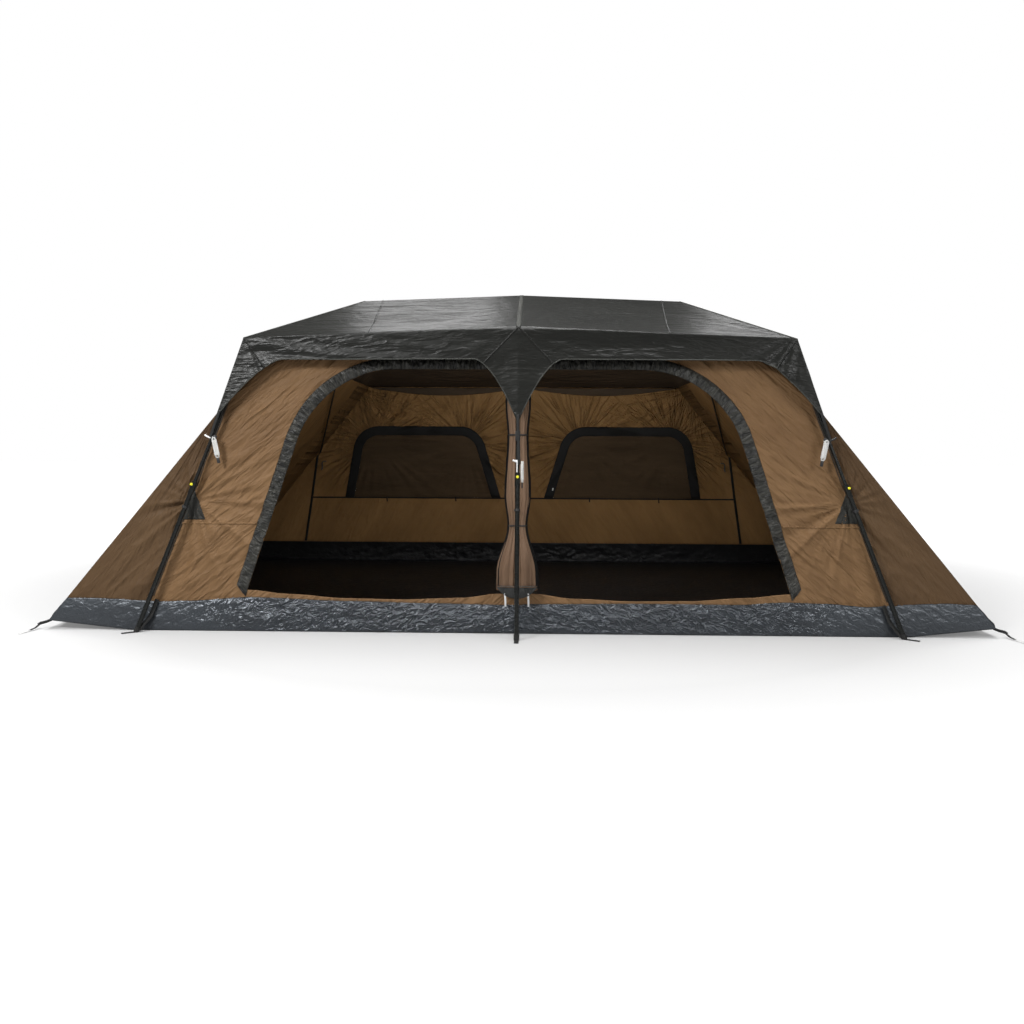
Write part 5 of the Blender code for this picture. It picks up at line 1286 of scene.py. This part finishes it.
def hem_place(s, t):
    """The hem band hangs like a bowl under the doors' straight lower edge."""
    k = s * HEM_STEPS
    at = hem[int(k)].lerp(hem[min(HEM_STEPS, int(k) + 1)], k - int(k))
    low = 0.205 + 0.058 * (abs(at.x) / HEM_HALF) ** 2.4
    droop = 0.004 * folds(Vector((at.x * 40.0, t * 2.0, 0.0)), 57)
    return Vector((at.x, at.y - 0.002 - droop * math.sin(math.pi * t), low + (0.274 - low) * t))


hem_cloth = cloth("dark_grey_hem", (0.030, 0.031, 0.030), (0.014, 0.015, 0.014), 0.5, 18.0, (1.0, 1.0, 2.0),
                  (0.0, 0.0, 0.0), 0.0040, 0.5, 0.4)
bm = sheet_grid(60, 10, hem_place, 0.22, 0.06)
soft(thickness(new_piece("door_hem_band", bm, hem_cloth), 0.0022, 0.0))
stitch = [Vector((at.x, at.y - 0.0045, 0.268)) for at in hem]
soft(strip("door_hem_stitching", stitch, 0.004, 0.0008, door_cloth, 60, 1, across=UP))
for side, x in ((-1, -0.064), (1, 0.060)):
    line = [Vector((x, -wall_y(0.2) - 0.076, 0.232)), Vector((x + 0.002, -wall_y(0.2) - 0.070, 0.195)),
            Vector((x + 0.003, -wall_y(0.2) - 0.060, 0.158))]
    soft(strip(f"hem_tape_{'left' if side < 0 else 'right'}", line, 0.010, 0.0012, plastic, 12, 2,
               across=Vector((1, 0, 0))))

# The ceiling: thin, near-black coated polyester with four slopes, sewn along the walls' tops and hung
# under the frame. Its hem hangs a little way down the back wall in two bows. Ceiling and hem are coloured
# dark brown, as painted light for the light the brown walls throw up onto them.
CEILING_RIDGE_X = 1.000
CEILING_TOP = 1.965


def ceiling_place(s, t):
    share_x, share_y = 2.0 * s - 1.0, 2.0 * t - 1.0
    x, y = share_x * wall_x(WALL_TOP), share_y * wall_y(WALL_TOP)
    front = 1.0 - abs(share_y)
    side = (wall_x(WALL_TOP) - abs(x)) / (wall_x(WALL_TOP) - CEILING_RIDGE_X)
    high = min(front, side)
    slack = math.sin(math.pi * min(1.0, front)) ** 0.5 * min(1.0, side * 1.5) if high > 0.0 else 0.0
    drop = slack * (0.012 + 0.006 * folds(Vector((x * 2.2, y * 2.6, 0.0)), 61)
                    + 0.004 * creases(Vector((x * 5.0, y * 2.0, 0.0)), 62))
    return Vector((x, y, WALL_TOP + 0.0005 + (CEILING_TOP - WALL_TOP) * high - drop))


# Painted light: the ceiling's and the hem's colours are dark brown rather than near-black, for the light
# thrown up from the brown walls.
ceiling_cloth = cloth("dark_coated_ceiling", (0.050, 0.034, 0.021), (0.028, 0.019, 0.012), 0.7, 5.0,
                      (4.0, 1.0, 1.0), (0.0, 0.0, 0.0), 0.0100, 0.5, 0.15)
hem_brown = cloth("ceiling_hem_brown", (0.040, 0.026, 0.014), (0.024, 0.015, 0.008), 0.7, 8.0,
                  (4.0, 1.0, 1.0), (0.0, 0.0, 0.0), 0.0060, 0.5, 0.15)
bm = sheet_grid(112, 112, ceiling_place, 2.8, 3.0)
roof = thickness(new_piece("inner_ceiling", bm, ceiling_cloth), 0.0008, 1.0)
soft(roof)
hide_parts("ceiling")


def ceiling_hem_place(s, t):
    """The ceiling's edge hangs a little way down the back wall, lowest between the poles."""
    x = (1.0 - 2.0 * s) * 1.35
    z = 1.556 - (0.004 + 0.066 * abs(math.sin(math.pi * x / 1.36))) * (1.0 - t)
    return wall_point(x, z, 1, back_pull(x, z) * min(1.0, (WALL_TOP - z) * 7.0) - 0.006)


bm = sheet_grid(120, 4, ceiling_hem_place, 2.7, 0.08)
soft(thickness(new_piece("ceiling_hem", bm, hem_brown), 0.0010, 0.0))

# The fly: heavy charcoal polyester over the whole frame, taped along each rib and bound along its
# arched edges. A webbing strap with a moulded hook ties each of its six tips to a leg.
FLY_PEAK = Vector((0.0, 0.0, 2.100))
FLY_HUB = Vector((1.121, 0.0, 2.059))
EAVE_CORNER = Vector((1.495, -1.449, 1.604))
EAVE_CENTRE = Vector((0.0, -1.498, 1.659))
EAVE_SIDE = Vector((1.507, 0.0, 1.600))
TIP_CORNER = Vector((1.648, -1.486, 1.160))
TIP_CENTRE = Vector((0.0, -1.562, 1.142))
ARCH_TOP = 1.484
SIDE_ARCH_TOP = 1.450
ARCH_CENTRE_W = 0.240
ARCH_CORNER_W = 0.370
ARCH_CENTRE_BEND = 1.7
ARCH_CORNER_BEND = 1.5
FLY_COLUMNS = 70
FLY_CORNER_COLUMNS = 24
FLY_ROWS = 58
FLY_SKIRT_ROWS = 18
FLY_SIDE_COLUMNS = 56


def arch_height(t, span, lows, top, widths, bends):
    near = 1.0 - max(0.0, 1.0 - t / widths[0]) ** bends[0]
    far = 1.0 - max(0.0, 1.0 - (span - t) / widths[1]) ** bends[1]
    return min(lows[0] + (top - lows[0]) * near, lows[1] + (top - lows[1]) * far)


def fly_front_low(top):
    low = arch_height(top.x, TIP_CORNER.x, (TIP_CENTRE.z, TIP_CORNER.z), ARCH_TOP,
                      (ARCH_CENTRE_W, ARCH_CORNER_W), (ARCH_CENTRE_BEND, ARCH_CORNER_BEND))
    low = min(low, top.z - 0.0002)
    share = min(1.0, top.x / EAVE_CORNER.x)
    at_centre = EAVE_CENTRE.lerp(TIP_CENTRE, (EAVE_CENTRE.z - low) / (EAVE_CENTRE.z - TIP_CENTRE.z))
    at_corner = EAVE_CORNER.lerp(TIP_CORNER, (EAVE_CORNER.z - low) / (EAVE_CORNER.z - TIP_CORNER.z))
    return Vector((top.x, at_centre.y * (1.0 - share) + at_corner.y * share, low))


def fly_side_low(top):
    low = arch_height(top.y - TIP_CORNER.y, -2.0 * TIP_CORNER.y, (TIP_CORNER.z, TIP_CORNER.z), SIDE_ARCH_TOP,
                      (ARCH_CORNER_W, ARCH_CORNER_W), (ARCH_CORNER_BEND, ARCH_CORNER_BEND))
    low = min(low, top.z - 0.0002)
    out = (TIP_CORNER.x - EAVE_CORNER.x) * (top.z - low) / (EAVE_CORNER.z - TIP_CORNER.z)
    clear = wall_x(low) + 0.006 if top.y > -1.440 else 0.0
    return Vector((max(top.x + out, clear), top.y, low))


fly_bm = bmesh.new()
slack_layer = fly_bm.verts.layers.float.new("slack")
skirt_layer = fly_bm.verts.layers.float.new("skirt")


def fly_patch(columns):
    """Joins lists of (point, slack, skirt) into a grid of faces."""
    made = []
    for column in columns:
        row = []
        for point, slack, skirt in column:
            vert = fly_bm.verts.new(point)
            vert[slack_layer], vert[skirt_layer] = slack, skirt
            row.append(vert)
        made.append(row)
    for near, far in zip(made, made[1:]):
        for k in range(len(near) - 1):
            corners = [near[k], far[k], far[k + 1], near[k + 1]]
            if (near[k].co - far[k].co).length < 1e-6:
                corners.remove(far[k])
            if (near[k + 1].co - far[k + 1].co).length < 1e-6:
                corners.remove(far[k + 1])
            if len(corners) > 2:
                fly_bm.faces.new(corners)


front_shares = []
for k in range(FLY_COLUMNS + 1):
    u = k / FLY_COLUMNS
    front_shares.append(u - 0.055 * math.sin(math.tau * u) * 1.6)
roof_columns = []
for share in front_shares:
    ridge, eave = FLY_PEAK.lerp(FLY_HUB, share), EAVE_CENTRE.lerp(EAVE_CORNER, share)
    roof_columns.append([(ridge.lerp(eave, k / FLY_ROWS),
                          math.sin(math.pi * share) * math.sin(math.pi * k / FLY_ROWS), 0.0)
                         for k in range(FLY_ROWS, -1, -1)])
fly_patch(roof_columns)
side_shares = [k / FLY_SIDE_COLUMNS for k in range(FLY_SIDE_COLUMNS + 1)]
side_columns = []
for share in side_shares:
    eave = EAVE_CORNER.lerp(EAVE_SIDE, share)
    side_columns.append([(FLY_HUB.lerp(eave, k / FLY_ROWS),
                          math.sin(math.pi * k / FLY_ROWS) * min(1.0, 3.0 * share), 0.0)
                         for k in range(FLY_ROWS, -1, -1)])
fly_patch(side_columns)


def skirt_column(top, low, slack):
    rows = []
    for k in range(FLY_SKIRT_ROWS + 1):
        t = k / FLY_SKIRT_ROWS
        loose = slack * (1.0 - t) ** 0.35 * min(1.0, 4.0 * (top.z - low.z)) if t < 1.0 else 0.0
        rows.append((low.lerp(top, t), loose, 1.0 - t))
    return rows


def front_slack(top):
    """The skirt is held at the centre leg and the corner leg, and is loose between them."""
    from_corner = 0.15 + abs(EAVE_CORNER.x - top.x) / 0.14 if top.x < EAVE_CORNER.x else 0.15
    return min(1.0, from_corner, 0.15 + top.x / 0.22)


corner_tops = [EAVE_CORNER.lerp(TIP_CORNER, k / FLY_CORNER_COLUMNS) for k in range(1, FLY_CORNER_COLUMNS + 1)]
tops = [EAVE_CENTRE.lerp(EAVE_CORNER, share) for share in front_shares] + corner_tops
fly_patch([skirt_column(top, fly_front_low(top) if top.x else TIP_CENTRE, front_slack(top))
           for top in tops[:-1]] + [[(TIP_CORNER, 0.0, 1.0)] * (FLY_SKIRT_ROWS + 1)])
tops = corner_tops[::-1][1:] + [EAVE_CORNER.lerp(EAVE_SIDE, share) for share in side_shares]
fly_patch([[(TIP_CORNER, 0.0, 1.0)] * (FLY_SKIRT_ROWS + 1)]
          + [skirt_column(top, fly_side_low(top), min(1.0, 0.15 + max(0.0, top.y - EAVE_CORNER.y) / 0.14))
             for top in tops])
bmesh.ops.remove_doubles(fly_bm, verts=fly_bm.verts, dist=0.0001)
for axis in ((-1.0, 1.0, 1.0), (1.0, -1.0, 1.0)):
    copy = bmesh.ops.duplicate(fly_bm, geom=[*fly_bm.verts, *fly_bm.edges, *fly_bm.faces])
    bmesh.ops.scale(fly_bm, vec=axis,
                    verts=[item for item in copy["geom"] if isinstance(item, bmesh.types.BMVert)])
    bmesh.ops.reverse_faces(fly_bm,
                            faces=[item for item in copy["geom"] if isinstance(item, bmesh.types.BMFace)])
bmesh.ops.remove_doubles(fly_bm, verts=fly_bm.verts, dist=0.0001)
fly_bm.normal_update()
flat_tree = BVHTree.FromBMesh(fly_bm)
normals = [vert.normal.copy() for vert in fly_bm.verts]
for vert, normal in zip(fly_bm.verts, normals):
    x, y, z = vert.co
    slack, skirt = vert[slack_layer], vert[skirt_layer]
    if not skirt:
        shift = -0.016 * slack + slack * (0.009 * folds(Vector((x * 1.7, y * 1.5, z)), 71)
                                          + 0.005 * folds(Vector((x * 4.0, y * 6.0, z * 3.0)), 72))
        shift += 0.0026 * min(1.0, 3.0 * slack) * creases(Vector((x * 3.4, y * 10.0, 1.0)), 77)
        centre_top = Vector((0.0, EAVE_CENTRE.y if y < 0 else -EAVE_CENTRE.y, EAVE_CENTRE.z))
        corner_top = Vector((math.copysign(EAVE_CORNER.x, x), math.copysign(EAVE_CORNER.y, y), EAVE_CORNER.z))
        for apex in (centre_top, corner_top):
            away = vert.co - apex
            angle = math.atan2(away.y * math.copysign(1.0, y), away.x * math.copysign(1.0, x))
            pulled = folds(Vector((angle * 10.0, math.copysign(4.0, x), math.copysign(2.0, y))), 73)
            shift += 0.010 * min(1.0, slack * 6.0) * pulled * math.exp(-away.length / 0.35)
    else:
        run = x if abs(y) > 1.44 and abs(x) < 1.50 else y
        depth = 1.62 - z
        level = folds(Vector((run * 1.1, depth * 17.0 + 1.6 * abs(run), math.copysign(3.0, x))), 74)
        ripple = folds(Vector((run * 5.0, depth * 9.0, math.copysign(2.0, y))), 75)
        shift = slack * (0.017 * level + 0.003 * ripple)
        crease = creases(Vector((run * 1.5, depth * 24.0 + run * 2.0, math.copysign(2.0, y))), 78)
        shift += slack * 0.0045 * crease
        shift -= 0.009 * slack * math.sin(math.pi * min(1.0, skirt))
        for apex_x, reach in ((0.0, 0.30), (math.copysign(EAVE_CORNER.x, x), 0.42)):
            apex = Vector((apex_x, math.copysign(1.46, y), 1.63))
            away = vert.co - apex
            if abs(y) > 1.40:
                angle = math.atan2(away.z, abs(away.x) + 0.001)
            else:
                angle = math.atan2(away.z, abs(away.y) + 0.001)
            strong = 0.020 if apex_x else 0.008
            pulled = folds(Vector((angle * 6.5, apex_x * 2.0, math.copysign(2.0, y))), 76)
            shift += strong * slack * pulled * math.exp(-away.length / reach)
    vert.co += normal * shift
fly_bm.normal_update()
fly_tree = BVHTree.FromBMesh(fly_bm)
fly_cloth = cloth("charcoal_fly", (0.0142, 0.0145, 0.0126), (0.0088, 0.0090, 0.0078), 0.36, 10.0,
                  (3.4, 1.5, 0.9), (0.0, 4.0, 8.0), 0.0040, 0.55, 0.24)
fly_inside = cloth("black_coated_fly", (0.020, 0.020, 0.019), (0.011, 0.011, 0.010), 0.6, 9.0,
                   (1.0, 1.0, 1.0), (0.0, 0.0, 0.0), 0.0050, 0.35, 0.2)
seam_tape = cloth("fly_seam_tape", (0.046, 0.047, 0.041), (0.026, 0.027, 0.024), 0.6, 30.0, (1.0, 1.0, 1.0),
                  (0.0, 0.0, 0.0), 0.0012, 0.35, 0.2)
fly = thickness(new_piece("fly_sheet", fly_bm, fly_cloth, fly_inside), 0.0012, -1.0, 1)
soft(fly)
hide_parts("roof_fly")


def on_fly(line, steps=40):
    """The line's points, laid on the fly as it hangs."""
    points = []
    for a, b in zip(line, line[1:]):
        points += [fly_tree.find_nearest(a.lerp(b, k / steps))[0] for k in range(steps)]
    return points + [fly_tree.find_nearest(line[-1])[0]]


def flipped(at, side, end):
    return Vector((at.x * side, at.y * end, at.z))


low_front = [TIP_CENTRE] + [fly_front_low(EAVE_CENTRE.lerp(EAVE_CORNER, k / 60)) for k in range(1, 61)]
low_front += [fly_front_low(EAVE_CORNER.lerp(TIP_CORNER, k / 16)) for k in range(1, 16)] + [TIP_CORNER]
low_side = [TIP_CORNER] + [fly_side_low(TIP_CORNER.lerp(EAVE_CORNER, k / 16)) for k in range(1, 17)]
low_side += [fly_side_low(EAVE_CORNER.lerp(EAVE_SIDE, k / 50)) for k in range(1, 51)]
for side, hand in SIDES:
    for end, word in ((1, "front"), (-1, "back")):
        name = f"{word}_{hand}"
        roof_line = [FLY_PEAK.lerp(FLY_HUB, 0.88), EAVE_CENTRE.lerp(EAVE_CORNER, 0.54)]
        corner_line = [EAVE_CORNER, fly_front_low(Vector((1.378, -1.45, 1.61)))]
        centre_line = [EAVE_CENTRE, fly_front_low(Vector((0.190, -1.49, 1.65)))]
        lines = (
            ("rib_corner", [FLY_HUB, EAVE_CORNER], 0.026, seam_tape, 80),
            ("roof_seam", roof_line, 0.010, fly_cloth, 80),
            ("gusset_corner", corner_line, 0.010, fly_cloth, 24),
            ("gusset_centre", centre_line, 0.010, fly_cloth, 24),
            ("front_edge", low_front[1:-2], 0.012, seam_tape, 260),
            ("side_edge", low_side[2:], 0.012, seam_tape, 200),
        )
        for what, line, wide, material, columns in lines:
            steps = 30 if len(line) == 2 else 1
            laid = on_fly([flipped(at, side, end) for at in line], steps)
            soft(strip(f"fly_{what}_{name}", laid, wide, 0.0010, material, columns, 2, tree=fly_tree,
                       lift=0.0006))
for end, word in ((1, "front"), (-1, "back")):
    laid = on_fly([flipped(at, 1, end) for at in (FLY_PEAK, EAVE_CENTRE)])
    soft(strip(f"fly_rib_centre_{word}", laid, 0.026, 0.0010, seam_tape, 80, 2, tree=fly_tree, lift=0.0006))

# The straps at the fly's six tips: black webbing through a moulded buckle, with a hook that grips the
# upper leg tube. The front left and front centre hooks are white, the others black.
orange, tree, shader = new_material("orange_elastic")
where = add(tree, "TexCoord")
grain = add(tree, "TexNoise", {"Vector": where.outputs["Object"], "Scale": 500.0, "Detail": 2.0})
shade = add(tree, "MixRGB", {"Fac": grain.outputs["Fac"], "Color1": (0.42, 0.10, 0.02, 1.0),
                             "Color2": (0.62, 0.20, 0.04, 1.0)})
tree.links.new(shade.outputs[0], shader.inputs["Base Color"])
shader.inputs["Roughness"].default_value = 0.7
for side in (-1, 0, 1):
    for end, word in ENDS:
        hand = HANDS[side]
        tip = flipped(TIP_CORNER if side else TIP_CENTRE, side or 1, -end)
        eave = flipped(EAVE_CORNER if side else EAVE_CENTRE, side or 1, -end)
        low_z = CORNER_STRAP_Z if side else CENTRE_STRAP_Z
        stop = leg_at(side, low_z, end) + Vector((-0.003 * side if side else 0.008, end * 0.0125, 0.0))
        begin = tip + (eave - tip).normalized() * 0.050 + Vector((-side * 0.010, end * 0.003, 0.0))
        line = [begin, tip + Vector((-side * 0.010, end * 0.0025, 0.0)),
                stop + Vector((0, end * 0.001, 0.02)), stop]
        soft(strip(f"tip_strap_{word}_{hand}", line, 0.015, 0.0016, webbing, 60, 2,
                   across=Vector((1, 0, 0)) if not side else Vector((0.93, 0, 0.36 * side))))
        buckle_z = low_z + 0.016 if side else tip.z - 0.065
        centre = leg_at(side, buckle_z, end) + Vector((-0.021 * side, end * 0.0165, 0.0))
        bm = bmesh.new()
        bmesh.ops.create_cube(bm, size=1.0)
        bmesh.ops.scale(bm, vec=(0.020 if side else 0.026, 0.007, 0.026 if side else 0.052), verts=bm.verts)
        bmesh.ops.bevel(bm, geom=bm.edges[:], offset=0.002, segments=2, profile=0.5, affect="EDGES",
                        material=-1)
        tilt = Matrix.Rotation(side * math.radians(-21.0), 4, "Y")
        bmesh.ops.transform(bm, matrix=Matrix.Translation(centre) @ tilt, verts=bm.verts)
        soft(new_piece(f"tip_buckle_{word}_{hand}", bm, black_plastic))
        white = end < 0 and side < 1
        leg_clip(f"tip_hook_{word}_{hand}", side, end, low_z + 0.018, 0.0095,
                 plastic if white else black_plastic, tab=False)
        hook = leg_at(side, low_z + 0.018, end)
        way = side or -1
        prong = [hook + Vector((way * x, end * 0.0125, z))
                 for x, z in ((0.004, -0.004), (0.014, 0.001), (0.026, 0.006), (0.036, 0.013))]
        if not side:
            prong = prong[:3]
        soft(tube_along(f"tip_prong_{word}_{hand}", prong, 0.0048, plastic if white else black_plastic, 2))
        if not side:
            stem = [leg_at(0, z, end) + Vector((-0.003, end * 0.0155, 0.0))
                    for z in (low_z + 0.016, low_z - 0.040)]
            soft(tube_along(f"tip_stem_{word}_{hand}", stem, 0.0034, plastic if white else black_plastic, 1))
        if side and end < 0:
            start = stop + Vector((-side * 0.012, -0.003, 0.010))
            soft(tube_along(f"orange_line_{hand}", [start, start + Vector((-side * 0.003, -0.001, -0.040))],
                            0.0016, orange, 1))

low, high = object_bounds()
